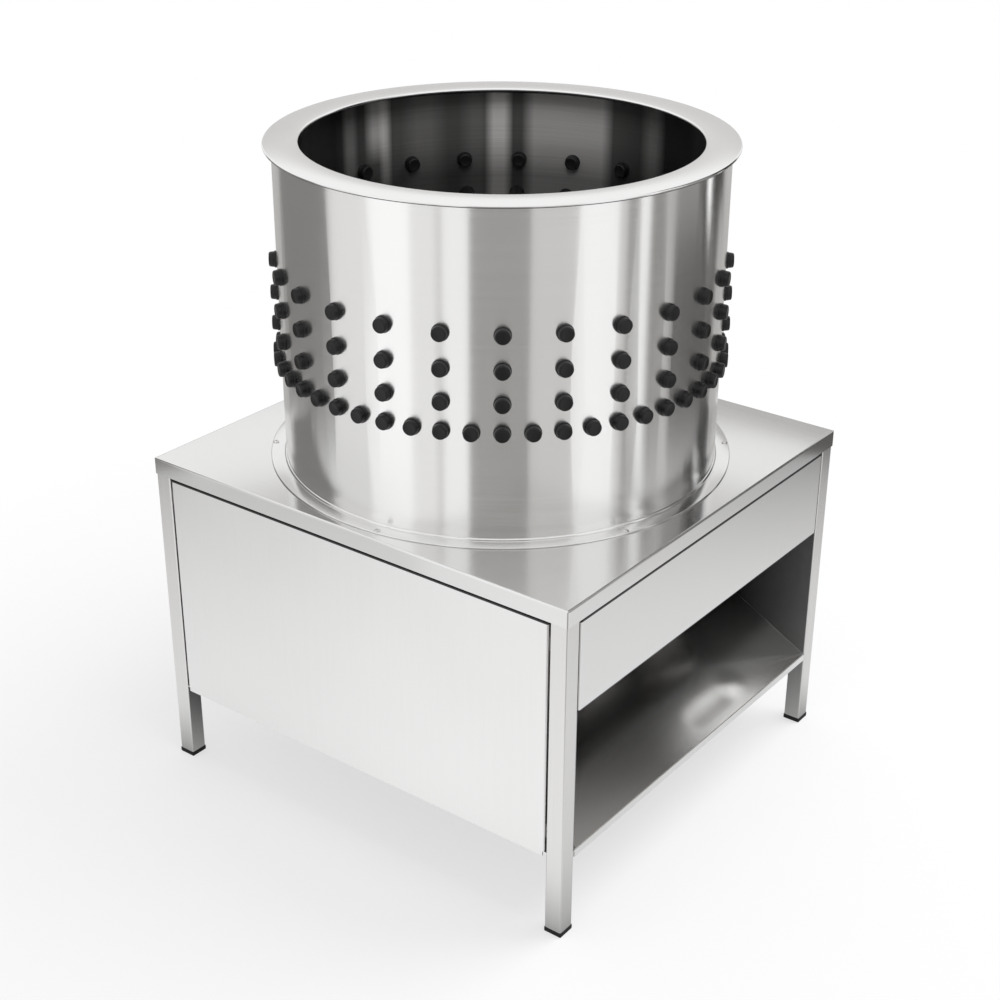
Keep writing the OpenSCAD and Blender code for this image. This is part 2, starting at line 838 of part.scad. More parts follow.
// Half outline of a bearing ring between two radii, with its ball groove
module ring_outline(r0, r1) {
    difference() {
        translate([r0, 0]) square([r1 - r0, bearing_w]);
        translate([bearing_pitch_r, bearing_w / 2]) circle(ball_d / 2 + ball_play);
    }
}

module bearing_outer_rings() {
    color(steel) at_bearings() rotate_extrude()
        ring_outline(bearing_pitch_r + bearing_shoulder, bearing_d / 2);
}

module bearing_inner_rings() {
    color(steel) at_bearings() rotate_extrude()
        ring_outline(shaft_d / 2 + seat_gap, bearing_pitch_r - bearing_shoulder);
}

module at_balls() {
    for (i = [0 : ball_n - 1])
        rotate([0, 0, i * 360 / ball_n]) translate([bearing_pitch_r, 0, bearing_w / 2]) children();
}

module bearing_balls() {
    color(steel) at_bearings() at_balls() sphere(d = ball_d);
}

module bearing_cages() {
    cage_h = ball_d + 2 * cage_edge;
    color("peru") at_bearings() difference() {
        translate([0, 0, (bearing_w - cage_h) / 2]) difference() {
            cylinder(r = bearing_pitch_r + cage_t / 2, h = cage_h);
            translate([0, 0, -cut]) cylinder(r = bearing_pitch_r - cage_t / 2, h = cage_h + 2 * cut);
        }
        at_balls() rotate([0, 90, 0]) cylinder(d = ball_d + 2 * ball_play, h = ball_d, center = true);
    }
}

module shaft_seal() {
    hollow_w = (bearing_d - shaft_d) / 2 - 4 * seal_web;
    color(rubber) translate([0, 0, nose_top - seal_h]) rotate_extrude() difference() {
        translate([shaft_d / 2 + shaft_gap, 0]) square([(bearing_d - shaft_d) / 2 - shaft_gap, seal_h]);
        translate([bearing_pitch_r - hollow_w / 2, -eps]) square([hollow_w, seal_h - seal_web]);
    }
}

module retaining_ring() {
    color(dark_steel) translate([0, 0, housing_foot + lower_ring_t]) difference() {
        cylinder(r = bearing_d / 2 + lower_ring_lip, h = lower_ring_t);
        translate([0, 0, -cut])
            cylinder(r = bearing_d / 2 + lower_ring_lip - retaining_ring_w, h = lower_ring_t + 2 * cut);
        translate([bearing_d / 2, 0, 0])
            cube([4 * retaining_ring_w, 2 * retaining_ring_w, 4 * lower_ring_t], center = true);
    }
}

module main_shaft() {
    low_end = lower_bearing_z + bearing_w;
    color(dark_steel) difference() {
        rotate_extrude() {
            translate([0, shaft_foot]) square([shaft_d / 2, hub_z - shaft_foot]);
            translate([0, low_end]) square([shoulder_d / 2, upper_bearing_z - low_end]);
            translate([0, hub_z - eps]) square([hub_seat_d / 2, plate_top + thread_len - hub_z]);
        }
        shaft_key_places(key_gap);
        translate([0, 0, shaft_foot - cut])
            cylinder(d = pulley_bolt_d + 2 * screw_gap, h = pulley_bolt_len + 2 * cut);
    }
}

// Blocks of the two keys, grown by a gap for their slots
module shaft_key_places(gap) {
    translate([hub_seat_d / 2, 0, hub_z + hub_h / 2])
        cube([key_h + 2 * gap, key_w + 2 * gap, hub_key_len + 2 * gap], center = true);
    translate([shaft_d / 2, 0, pulley_hub_top - pulley_key_len / 2 - key_end])
        cube([key_h + 2 * gap, key_w + 2 * gap, pulley_key_len + 2 * gap], center = true);
}

module shaft_keys() {
    color(steel) shaft_key_places(0);
}

module spacer_sleeve() {
    length = lower_bearing_z - pulley_hub_top;
    color(steel) translate([0, 0, pulley_hub_top]) difference() {
        cylinder(r = bearing_pitch_r - bearing_shoulder, h = length);
        translate([0, 0, -cut]) cylinder(d = shaft_d + 2 * seat_gap, h = length + 2 * cut);
    }
}

module plate_hub() {
    color(cast_grey) difference() {
        union() {
            translate([0, 0, hub_z]) cylinder(d = hub_d, h = hub_h);
            translate([0, 0, plate_z - hub_flange_t]) cylinder(d = hub_flange_d, h = hub_flange_t);
        }
        translate([0, 0, hub_z - cut]) cylinder(d = hub_seat_d + 2 * seat_gap, h = hub_h + 2 * cut);
        shaft_key_places(key_gap);
        hub_bolt_places() bolt_hole(4 * (plate_t + hub_flange_t));
    }
}

module hub_bolt_places() {
    for (i = [0 : hub_bolts - 1])
        rotate([0, 0, 30 + i * 360 / hub_bolts]) translate([hub_bolt_r, 0, plate_top]) children();
}

module hub_bolts() {
    color(steel) hub_bolt_places() nut_and_bolt(plate_t + hub_flange_t);
}

module feather_plate() {
    color(steel) difference() {
        translate([0, 0, plate_z]) cylinder(r = plate_r, h = plate_t, $fn = 180);
        translate([0, 0, plate_z - cut]) cylinder(d = hub_seat_d + 2 * screw_gap, h = plate_t + 2 * cut);
        hub_bolt_places() bolt_hole(4 * plate_t);
        plate_ring_holes(inner_ring_n, inner_ring_r);
        plate_ring_holes(middle_ring_n, middle_ring_r);
        plate_ring_holes(outer_ring_n, outer_ring_r);
    }
}

module clamp_washer() {
    color(steel) translate([0, 0, plate_top]) difference() {
        cylinder(r = clamp_r, h = clamp_t);
        translate([0, 0, -cut]) cylinder(d = hub_seat_d + 2 * screw_gap, h = clamp_t + 2 * cut);
    }
}

module cap_nut() {
    thread_room = thread_len - clamp_t + cut;
    color(steel) translate([0, 0, plate_top + clamp_t]) difference() {
        union() {
            hex_prism(nut_af, nut_h);
            intersection() {
                translate([0, 0, thread_room + nut_wall - nut_dome_r]) sphere(nut_dome_r);
                cylinder(r = nut_dome_r, h = 2 * nut_af);
            }
        }
        translate([0, 0, -cut]) cylinder(d = hub_seat_d + 2 * seat_gap, h = thread_room + cut);
    }
}

// Belt drive

// Half width of the belt at a distance outside its pitch line
function belt_half(s) = belt_w / 2 - (belt_out - s) * belt_slope;

// Section of the belt: x is the distance from the pitch line, y is the height
module belt_section() {
    foot = belt_out - belt_h;
    polygon([[belt_out, -belt_half(belt_out)], [belt_out, belt_half(belt_out)],
        [foot, belt_half(foot)], [foot, -belt_half(foot)]]);
}

// Section of the groove that clears the belt
module groove_section() {
    side = belt_gap / cos(20);
    foot = belt_out - belt_h - groove_floor;
    top = rim_over + cut;
    polygon([[top, -belt_half(top) - side], [top, belt_half(top) + side],
        [foot, belt_half(foot) + side], [foot, -belt_half(foot) - side]]);
}

module v_belt() {
    wrap = 90 + belt_lean;
    color(rubber) translate([0, 0, belt_z]) {
        rotate([0, 0, -wrap]) rotate_extrude(angle = 2 * wrap) translate([driven_r, 0]) belt_section();
        translate([-motor_offset, 0, 0]) rotate([0, 0, wrap]) rotate_extrude(angle = 360 - 2 * wrap)
            translate([motor_pulley_r, 0]) belt_section();
        for (side = [0, 1]) mirror([0, side, 0]) rotate([0, 0, wrap])
            translate([driven_r, belt_run + eps, 0]) rotate([90, 0, 0])
                linear_extrude(belt_run + 2 * eps) belt_section();
    }
}

module driven_pulley() {
    rim_r = driven_r + rim_over;
    rim_in_r = driven_r - belt_h - pulley_rim_t;
    web_hole_r = (rim_in_r - pulley_hub_d / 2) / 3;
    color(cast_grey) difference() {
        rotate_extrude() difference() {
            union() {
                translate([shaft_d / 2 + seat_gap, pulley_foot])
                    square([(pulley_hub_d - shaft_d) / 2 - seat_gap, pulley_hub_top - pulley_foot]);
                translate([shaft_d, belt_z - pulley_web_t / 2])
                    square([rim_in_r - shaft_d + cut, pulley_web_t]);
                translate([rim_in_r, belt_z - pulley_w / 2]) square([rim_r - rim_in_r, pulley_w]);
            }
            translate([driven_r, belt_z]) groove_section();
        }
        for (i = [0 : pulley_web_holes - 1]) rotate([0, 0, i * 360 / pulley_web_holes])
            translate([(rim_in_r + pulley_hub_d / 2) / 2, 0, belt_z])
                cylinder(r = web_hole_r, h = 2 * pulley_web_t, center = true);
        shaft_key_places(key_gap);
    }
}

module pulley_bolt() {
    head_foot = -pulley_washer_t - pulley_bolt_head_h;
    color(steel) translate([0, 0, shaft_foot]) {
        translate([0, 0, -pulley_washer_t])
            cylinder(d = shaft_d + 2 * pulley_washer_lip, h = pulley_washer_t);
        translate([0, 0, head_foot]) hex_prism(pulley_bolt_af, pulley_bolt_head_h);
        translate([0, 0, -eps]) cylinder(d = pulley_bolt_d, h = pulley_bolt_len);
    }
}

module motor_pulley() {
    color(cast_grey) translate([-motor_offset, 0, belt_z]) rotate_extrude() difference() {
        translate([motor_shaft_d / 2 + seat_gap, -pulley_w / 2])
            square([motor_pulley_r + rim_over - motor_shaft_d / 2 - seat_gap, pulley_w]);
        translate([motor_pulley_r, 0]) groove_section();
    }
}

module guard_screw_places() {
    for (x = [-1, 1], y = [-1, 1]) translate([x * guard_screw_x, y * beam_y, beam_z]) children();
}

module belt_guard() {
    color(steel) translate([0, 0, beam_z - guard_h]) difference() {
        linear_extrude(guard_h) teardrop(guard_r, guard_small_r);
        translate([0, 0, -cut]) linear_extrude(guard_h - sheet_t + cut)
            teardrop(guard_r - sheet_t, guard_small_r - sheet_t);
        cylinder(r = guard_hole_r, h = 2 * guard_h);
        translate([0, 0, guard_h - beam_z]) guard_screw_places()
            cylinder(d = guard_screw_d + 2 * screw_gap, h = 6 * sheet_t, center = true);
    }
}

module guard_screws() {
    color(steel) guard_screw_places() {
        translate([0, 0, -sheet_t - guard_screw_head_h])
            cylinder(d = 2 * guard_screw_d, h = guard_screw_head_h);
        translate([0, 0, -sheet_t - eps]) cylinder(d = guard_screw_d, h = guard_screw_len);
    }
}

// Motor and its mounting

module bracket_bolt_places() {
    for (x = [-1, 1], y = [-1, 1])
        translate([x * bracket_len / 3 - motor_offset, y * (beam_y + beam_w / 4), beam_z]) children();
}

module motor_bolt_places() {
    for (i = [0 : 3])
        translate([-motor_offset, 0, bracket_z + bracket_t]) rotate([0, 0, 45 + i * 90])
            translate([motor_bolt_r, 0, 0]) children();
}

// Hat-shaped bracket hung under the beams
module motor_bracket() {
    rise = beam_z - bracket_z;
    color(steel) difference() {
        translate([-motor_offset - bracket_len / 2, 0, bracket_z]) rotate([90, 0, 90])
            linear_extrude(bracket_len) {
                translate([-beam_y, 0]) square([2 * beam_y, bracket_t]);
                for (side = [-1, 1]) {
                    translate([side < 0 ? -beam_y : bracket_in_y, 0]) square([bracket_t, rise]);
                    translate([side < 0 ? -beam_y - beam_w / 2 : bracket_in_y, rise - bracket_t])
                        square([beam_w / 2 + bracket_t, bracket_t]);
                }
            }
        translate([-motor_offset, 0, bracket_z - cut]) cylinder(r = pilot_r, h = bracket_t + 2 * cut);
        motor_bolt_places() bolt_hole(4 * bracket_t);
        bracket_bolt_places() bolt_hole(4 * bracket_t);
    }
}

module bracket_bolts() {
    color(steel) {
        bracket_bolt_places() translate([0, 0, -bracket_t]) rotate([180, 0, 0])
            bolt(bracket_t + tube_t + bolt_nut_h);
        motor_bolt_places() bolt(bracket_t + motor_flange_t - cut);
    }
}

module motor_bore(h) {
    translate([-motor_offset, 0, 0]) cylinder(d = motor_shaft_d + 2 * shaft_gap, h = h);
}

module motor_flange() {
    color(cast_grey) difference() {
        translate([-motor_offset, 0, motor_body_top]) cylinder(d = motor_flange_d, h = motor_flange_t);
        motor_bore(table_h);
        motor_bolt_places() bolt_hole(2 * (bracket_t + motor_flange_t));
    }
}

module motor_housing() {
    color(cast_grey) difference() {
        union() {
            translate([-motor_offset, 0, motor_body_z]) linear_extrude(motor_len) {
                circle(motor_core_r);
                for (i = [0 : fins - 1]) rotate([0, 0, (i + 0.5) * 360 / fins])
                    translate([motor_core_r - fin_t, -fin_t / 2]) square([fin_h + fin_t, fin_t]);
            }
            translate([-motor_offset - box_w / 2, -box_face, box_z]) cube([box_w, box_depth + fin_h, box_h]);
        }
        motor_bore(table_h);
    }
}

module terminal_box_lid() {
    w = box_w + 2 * box_lid_lip;
    color(cast_grey) translate([-motor_offset - w / 2, -box_face - box_lid_t, box_z - box_lid_lip])
        cube([w, box_lid_t, box_h + 2 * box_lid_lip]);
}

module motor_shaft() {
    color(dark_steel) translate([-motor_offset, 0, fan_z])
        cylinder(d = motor_shaft_d, h = belt_z + pulley_w / 2 + shaft_end - fan_z);
}

module motor_fan() {
    fan_r = motor_d / 2 - 2 * fan_gap;
    hub_r = motor_shaft_d / 2 + fan_hub_wall;
    hub_len = motor_body_z - fan_z - fan_gap;
    color(rubber) translate([-motor_offset, 0, fan_z]) difference() {
        union() {
            cylinder(r = hub_r, h = hub_len);
            cylinder(r = fan_r, h = blade_t);
            for (i = [0 : fan_blades - 1]) rotate([0, 0, i * 360 / fan_blades])
                translate([hub_r - blade_t, -blade_t / 2, blade_t / 2])
                    cube([fan_r - fan_gap - hub_r, blade_t, hub_len - blade_t]);
        }
        translate([0, 0, -cut]) cylinder(d = motor_shaft_d + 2 * seat_gap, h = fan_cover_h);
    }
}

module fan_cover() {
    color(dark_steel) translate([-motor_offset, 0, fan_cover_z]) difference() {
        cylinder(d = motor_d, h = fan_cover_h);
        translate([0, 0, fan_cover_t]) cylinder(d = motor_d - 2 * fan_cover_t, h = fan_cover_h);
        for (i = [0 : vent_n - 1]) translate([0, (i - (vent_n - 1) / 2) * vent_pitch, 0])
            cube([vent_len, vent_w, 4 * fan_cover_t], center = true);
    }
}

// Splash wall round the motor, standing on the outlet floor
module motor_cover() {
    in_x = leg_out_x - sheet_t;
    wall_h = cover_top - floor_z;
    color(steel) translate([0, 0, floor_z]) difference() {
        translate([-in_x, -cover_y, 0]) cube([in_x + cover_x, 2 * cover_y, wall_h]);
        translate([-in_x - cut, sheet_t - cover_y, -cut])
            cube([in_x + cut + cover_x - sheet_t, 2 * (cover_y - sheet_t), wall_h + 2 * cut]);
        for (i = [0 : louvre_n - 1])
            translate([-motor_offset - louvre_w / 2, -cover_y - cut, louvre_z + i * louvre_pitch])
                cube([louvre_w, 2 * (cover_y + cut), louvre_h]);
    }
}

// Threaded body under the floor, with its lock nut above
module cable_gland() {
    top = floor_z + gland_thread_len;
    color(rubber) translate([gland_x, gland_y, 0]) {
        difference() {
            union() {
                translate([0, 0, gland_foot]) cylinder(d = gland_dome_d, h = gland_dome_h + eps);
                translate([0, 0, gland_foot + gland_dome_h]) hex_prism(gland_af, gland_hex_h);
                translate([0, 0, gland_foot + gland_dome_h]) cylinder(d = gland_thread_d,
                    h = top - gland_foot - gland_dome_h);
            }
            translate([0, 0, gland_foot - cut]) cylinder(d = gland_bore_d, h = top - gland_foot + 2 * cut);
        }
        translate([0, 0, floor_z]) difference() {
            hex_prism(gland_af, gland_nut_h);
            translate([0, 0, -cut]) cylinder(d = gland_thread_d + 2 * seat_gap, h = gland_nut_h + 2 * cut);
        }
    }
}

// Switch

// Copies at a button's outer face, with +Z along its travel
module at_button(side) {
    translate([switch_x - switch_face_t, switch_y, switch_z + side * button_pitch / 2])
        rotate([0, 90, 0]) children();
}

module button_bores() {
    collar_room = button_collar + button_travel + 2 * button_gap;
    for (side = [-1, 1]) at_button(side) {
        translate([0, 0, -cut]) cylinder(d = button_d + 2 * button_gap, h = button_len + cut);
        translate([0, 0, sheet_t + switch_face_t])
            cylinder(d = button_d + 2 * (button_gap + button_collar), h = collar_room);
    }
}

module switch_body() {
    face_w = switch_body_w + 2 * switch_face_lip;
    face_h = switch_body_h + 2 * switch_face_lip;
    color(rubber) difference() {
        union() {
            translate([switch_x - switch_face_t, switch_y, switch_z]) rotate([0, 90, 0])
                linear_extrude(switch_face_t) rounded_rect(face_h, face_w, switch_face_r);
            translate([switch_x - eps, switch_y, switch_z]) rotate([0, 90, 0])
                linear_extrude(switch_depth) rounded_rect(switch_body_h, switch_body_w, switch_body_r);
        }
        button_bores();
    }
}

module button(side) {
    at_button(side) {
        cylinder(d = button_d, h = button_len - button_travel - button_gap);
        translate([0, 0, sheet_t + switch_face_t + button_gap])
            cylinder(d = button_d + 2 * button_collar, h = button_collar);
    }
}

module start_button() {
    color("green") button(1);
}

module stop_button() {
    color("firebrick") button(-1);
}

table_top();
legs();
foot_caps();
top_rails();
cross_beams();
front_panel();
back_panel();
left_panel();
outlet_apron();
outlet_floor();
panel_clips();
drum_wall();
drum_rim();
drum_flange();
flange_screws();
wall_row(columns, top_row_h);  // wall_fingers_top_row
wall_row(columns, second_row_h);  // wall_fingers_second_row
wall_row(columns, third_row_h);  // wall_fingers_third_row
wall_row(2 * columns, bottom_row_h);  // wall_fingers_bottom_row
rear_row();  // wall_fingers_rear_row
support_plate();
bearing_housing();
housing_bolts();
bearing_outer_rings();
bearing_inner_rings();
bearing_balls();
bearing_cages();
shaft_seal();
retaining_ring();
main_shaft();
spacer_sleeve();
shaft_keys();
plate_hub();
hub_bolts();
feather_plate();
plate_ring(inner_ring_n, inner_ring_r);  // plate_fingers_inner_ring
plate_ring(middle_ring_n, middle_ring_r);  // plate_fingers_middle_ring
plate_ring(outer_ring_n, outer_ring_r);  // plate_fingers_outer_ring
clamp_washer();
cap_nut();
driven_pulley();
pulley_bolt();
v_belt();
motor_pulley();
belt_guard();
guard_screws();
motor_bracket();
bracket_bolts();
motor_housing();
motor_flange();
motor_shaft();
motor_fan();
fan_cover();
terminal_box_lid();
motor_cover();
cable_gland();
switch_body();
start_button();
stop_button();
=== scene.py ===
import math

import bpy
from mathutils import Matrix, Vector


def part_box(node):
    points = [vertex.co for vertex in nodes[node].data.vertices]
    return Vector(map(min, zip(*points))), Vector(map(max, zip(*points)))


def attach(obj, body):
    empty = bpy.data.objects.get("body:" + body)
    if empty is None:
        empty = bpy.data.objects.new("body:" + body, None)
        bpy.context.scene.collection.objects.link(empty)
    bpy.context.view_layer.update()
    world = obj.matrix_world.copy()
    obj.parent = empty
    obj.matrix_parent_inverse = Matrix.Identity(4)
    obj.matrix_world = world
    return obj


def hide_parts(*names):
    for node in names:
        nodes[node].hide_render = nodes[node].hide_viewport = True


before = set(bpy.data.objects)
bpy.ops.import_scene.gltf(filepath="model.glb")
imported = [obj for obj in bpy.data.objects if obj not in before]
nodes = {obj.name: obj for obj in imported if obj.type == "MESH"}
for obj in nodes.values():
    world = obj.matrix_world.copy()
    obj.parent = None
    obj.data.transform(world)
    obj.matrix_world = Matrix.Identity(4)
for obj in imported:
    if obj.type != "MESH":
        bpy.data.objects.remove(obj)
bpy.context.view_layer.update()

# Viewpoint. The camera stands off the corner between the front panel and the feather outlet,
# well above the rim, so that it looks down into the drum.
eye = (1.3537, -1.7894, 1.4973)
tilt, roll, heading = (math.radians(angle) for angle in (63.78, -0.23, 37.27))
bpy.ops.object.select_all(action="DESELECT")
bpy.ops.object.camera_add(location=eye, rotation=(tilt, roll, heading))
camera = bpy.context.object
camera.data.sensor_width = 36
camera.data.lens = 63.62
camera.data.shift_x = 0.0011
bpy.context.scene.camera = camera
bpy.context.scene.view_settings.view_transform = "Standard"


# Studio. White air all round and a white floor that keeps the shadow. Where metal mirrors the
# floor, it shows painted shade round the machine instead, darker towards the outlet side and the
# far -x side. A broad soft lamp hangs high behind the outlet and a small one over the drum.
# Curved grey cards stand round the machine, which only polished metal sees.
class Wire:
    """One output socket of a node tree. Arithmetic on it adds Math nodes."""

    def __init__(self, tree, socket=None):
        self.tree = tree
        self.socket = socket

    def node(self, kind, settings=None, sockets=None, out=0):
        """Adds a node, sets it up, feeds its sockets and returns one of its outputs."""
        made = self.tree.nodes.new(kind)
        for name, value in (settings or {}).items():
            setattr(made, name, value)
        for name, value in (sockets or {}).items():
            if isinstance(value, Wire):
                self.tree.links.new(value.socket, made.inputs[name])
            else:
                made.inputs[name].default_value = value
        return Wire(self.tree, made.outputs[out]) if made.outputs else None

    def maths(self, operation, first, second=0.0):
        return self.node("ShaderNodeMath", {"operation": operation}, {0: first, 1: second})

    def __add__(self, other):
        return self.maths("ADD", self, other)

    __radd__ = __add__

    def __sub__(self, other):
        return self.maths("SUBTRACT", self, other)

    def __rsub__(self, other):
        return self.maths("SUBTRACT", other, self)

    def __mul__(self, other):
        return self.maths("MULTIPLY", self, other)

    __rmul__ = __mul__

    def ramp(self, low, high, start=0.0, end=1.0):
        """Goes from start to end while this value goes from low to high, and stays there."""
        return self.node("ShaderNodeMapRange", {}, {0: self, 1: low, 2: high, 3: start, 4: end})

    def band(self, middle, half, soft):
        """One within half of a value, then falling to nought over a soft edge."""
        return self.maths("ABSOLUTE", self - middle).ramp(half, half + soft, 1, 0)

    def axis(self, name):
        """One part of a vector."""
        return self.node("ShaderNodeSeparateXYZ", {}, {0: self}, name)

    def mix(self, first, second):
        """Colour between two, by this value."""
        return self.node("ShaderNodeMix", {"data_type": "RGBA"}, {0: self, 6: first, 7: second}, 2)


def fresh_tree(owner):
    owner.use_nodes = True
    owner.node_tree.nodes.clear()
    return Wire(owner.node_tree)


def grey(level, warmth=0.0):
    return (level, level * (1 - warmth / 2), level * (1 - warmth), 1)


air_light = 0.62
air = bpy.data.worlds.new("studio_air")
wire = fresh_tree(air)
rays = [wire.node("ShaderNodeLightPath", out=name)
        for name in ("Is Camera Ray", "Is Glossy Ray", "Is Transmission Ray")]
shown = wire.maths("MAXIMUM", rays[0], wire.maths("MAXIMUM", rays[1], rays[2]))
glow = wire.node("ShaderNodeBackground", {}, {"Color": grey(1),
                                              "Strength": shown.ramp(0, 1, air_light, 1)})
wire.node("ShaderNodeOutputWorld", {}, {"Surface": glow})
bpy.context.scene.world = air

floor_side = 24
footprint_x, footprint_y = 0.35, 0.33
bpy.ops.object.select_all(action="DESELECT")
bpy.ops.mesh.primitive_plane_add(size=floor_side)
floor = bpy.context.object
floor.name = "studio_floor"
floor_paint = bpy.data.materials.new("studio_floor")
wire = fresh_tree(floor_paint)
place = wire.node("ShaderNodeTexCoord", out="Object")
away = wire.node("ShaderNodeVectorMath", {"operation": "LENGTH"}, {0: place}, "Value")
beside = wire.maths("MAXIMUM", wire.maths("ABSOLUTE", place.axis("X")) - footprint_x,
                    wire.maths("ABSOLUTE", place.axis("Y")) - footprint_y)
seen = wire.node("ShaderNodeLightPath", out="Is Camera Ray") * away.ramp(0.45, 1.25, 0.62, 1)
mirrored = wire.node("ShaderNodeLightPath", out="Is Glossy Ray")
# Painted shadow in what metal mirrors of the floor: dark under the machine, lighter away from it.
shade = beside.ramp(-0.13, 0.02, 0.04, 0.45) + beside.ramp(0.0, 0.1, 0, 0.53)
shade = shade * place.axis("X").ramp(0.36, 0.42, 1, 0.82) * place.axis("X").ramp(-0.7, 0.0, 0.84, 1)
matt = wire.node("ShaderNodeBsdfDiffuse", {}, {"Color": grey(0.9)})
glare = (mirrored * (1 - shade)).mix(grey(1), grey(0))
white = wire.node("ShaderNodeEmission", {}, {"Color": glare, "Strength": 1})
lifted = wire.node("ShaderNodeMixShader", {}, {0: wire.maths("MAXIMUM", seen, mirrored), 1: matt, 2: white})
wire.node("ShaderNodeOutputMaterial", {}, {"Surface": lifted})
floor.data.materials.append(floor_paint)


def soft_lamp(name, place, aim, size, watts):
    """A round soft lamp that polished metal doesn't mirror."""
    place = Vector(place)
    bpy.ops.object.light_add(type="AREA", location=place)
    lamp = bpy.context.object
    lamp.name = name
    lamp.data.shape = "DISK"
    lamp.data.size = size
    lamp.data.energy = watts
    lamp.rotation_euler = (Vector(aim) - place).to_track_quat("-Z", "Y").to_euler()
    lamp.visible_glossy = False


soft_lamp("soft_lamp_high", (1.2, 1.4, 2.8), (0, 0, 0.4), 2.2, 60)
soft_lamp("soft_lamp_drum", (0.25, -0.35, 1.55), (-0.2, 0.25, 0.8), 0.4, 3)

camera_side = -52.5
card_distance = 0.95
card_warmth = 0.08


def pick(piece, kind, chosen):
    """Selects, in edit mode, the vertices, edges or faces that a test on the mesh chooses."""
    bpy.ops.object.mode_set(mode="EDIT")
    bpy.ops.mesh.select_mode(type=kind)
    bpy.ops.mesh.select_all(action="DESELECT")
    bpy.ops.object.mode_set(mode="OBJECT")
    parts = {"VERT": piece.data.vertices, "EDGE": piece.data.edges, "FACE": piece.data.polygons}[kind]
    for part in parts:
        part.select = chosen(part)
    bpy.ops.object.mode_set(mode="EDIT")


def reflector_card(name, first, last, low, high, level, top_level=None, distance=card_distance):
    """A curved standing card between two directions, in degrees counted from the camera's side,
    of one grey or shading from one to another upwards."""
    bpy.ops.object.select_all(action="DESELECT")
    bpy.ops.mesh.primitive_cylinder_add(vertices=360, radius=distance, depth=high - low,
                                        location=(0, 0, (low + high) / 2), end_fill_type="NOTHING")
    card = bpy.context.object
    card.name = name
    middle = math.radians((first + last) / 2 + camera_side)
    half = math.radians((last - first) / 2)

    def outside(face):
        off = math.atan2(face.center.y, face.center.x) - middle
        return abs((off + math.pi) % (2 * math.pi) - math.pi) > half

    pick(card, "FACE", outside)
    bpy.ops.mesh.delete(type="FACE")
    bpy.ops.object.mode_set(mode="OBJECT")
    bpy.ops.object.transform_apply(location=True, rotation=True, scale=True)
    paint = bpy.data.materials.new(name)
    tint = fresh_tree(paint)
    shade = grey(level, card_warmth * max(1 - level, 0))
    if top_level:
        rise = tint.node("ShaderNodeTexCoord", out="Object").axis("Z").ramp(low, high)
        shade = rise.mix(shade, grey(top_level))
    shine = tint.node("ShaderNodeEmission", {}, {"Color": shade, "Strength": 1})
    tint.node("ShaderNodeOutputMaterial", {}, {"Surface": shine})
    card.data.materials.append(paint)
    card.visible_camera = False
    card.visible_diffuse = False
    card.visible_shadow = False
    card.visible_transmission = False


reflector_card("card_far_left", -165, -127, 0.0, 0.75, 0.48)
reflector_card("card_left_low", -127, -59, 0.0, 0.24, 0.85, 0.6)
reflector_card("card_left_dark", -127, -82, 0.24, 1.0, 0.23)
reflector_card("card_left_pale", -82, -59, 0.22, 1.0, 0.8)
reflector_card("card_left_bright", -59, -38, 0.22, 1.0, 1.06)
reflector_card("card_left_inner", -38, -28, 0.0, 1.0, 0.84)
reflector_card("card_left_line", -28, -24, 0.0, 1.0, 0.66)
reflector_card("card_left_near", -24, -13, 0.0, 1.0, 0.94)
reflector_card("card_centre", -13, 12, 0.0, 1.0, 0.34)
reflector_card("card_right_inner", 12, 31, 0.0, 1.0, 0.62)
reflector_card("card_right_pale", 31, 49, 0.0, 1.0, 1.0)
reflector_card("card_right_step", 49, 54, 0.1, 1.0, 0.66)
reflector_card("card_right_line", 54, 60, 0.1, 1.0, 0.33)
reflector_card("card_right_bright", 60, 66, 0.22, 1.0, 1.0)
reflector_card("card_right_grey", 66, 74, 0.22, 1.0, 0.27)
reflector_card("card_right_middle", 74, 81, 0.22, 1.0, 0.52)
reflector_card("card_right_dark", 81, 120, 0.22, 0.62, 0.12)
reflector_card("card_right_lip", 81, 100, 0.62, 2.0, 0.32)
reflector_card("card_right_high", 100, 124, 0.62, 2.0, 0.035)
reflector_card("card_outlet_glint", 104, 108, 0.62, 0.8, 1.7, distance=0.94)
reflector_card("card_far_right", 120, 165, 0.22, 0.62, 0.48)
reflector_card("card_far_right_high", 124, 165, 0.62, 0.82, 0.5)
reflector_card("card_right_low", 60, 140, 0.0, 0.22, 0.76, 0.48)
reflector_card("card_behind", 140, 220, 0.95, 1.15, 0.66)
reflector_card("card_behind_high", 140, 220, 1.15, 1.26, 0.66, 1.05)


# Legs, rails and beams. Square stainless tube, sawn and welded into the frame, brushed along its
# length. The rails and beams stay as rolled, because the table and the panels hide them, and are
# near black: painted shade where they show through the gap under the table.
def dress(finish, *names):
    """Gives a finish to CAD nodes that keep their own shape."""
    for name in names:
        slots = nodes[name].data.materials
        slots.clear()
        slots.append(finish)


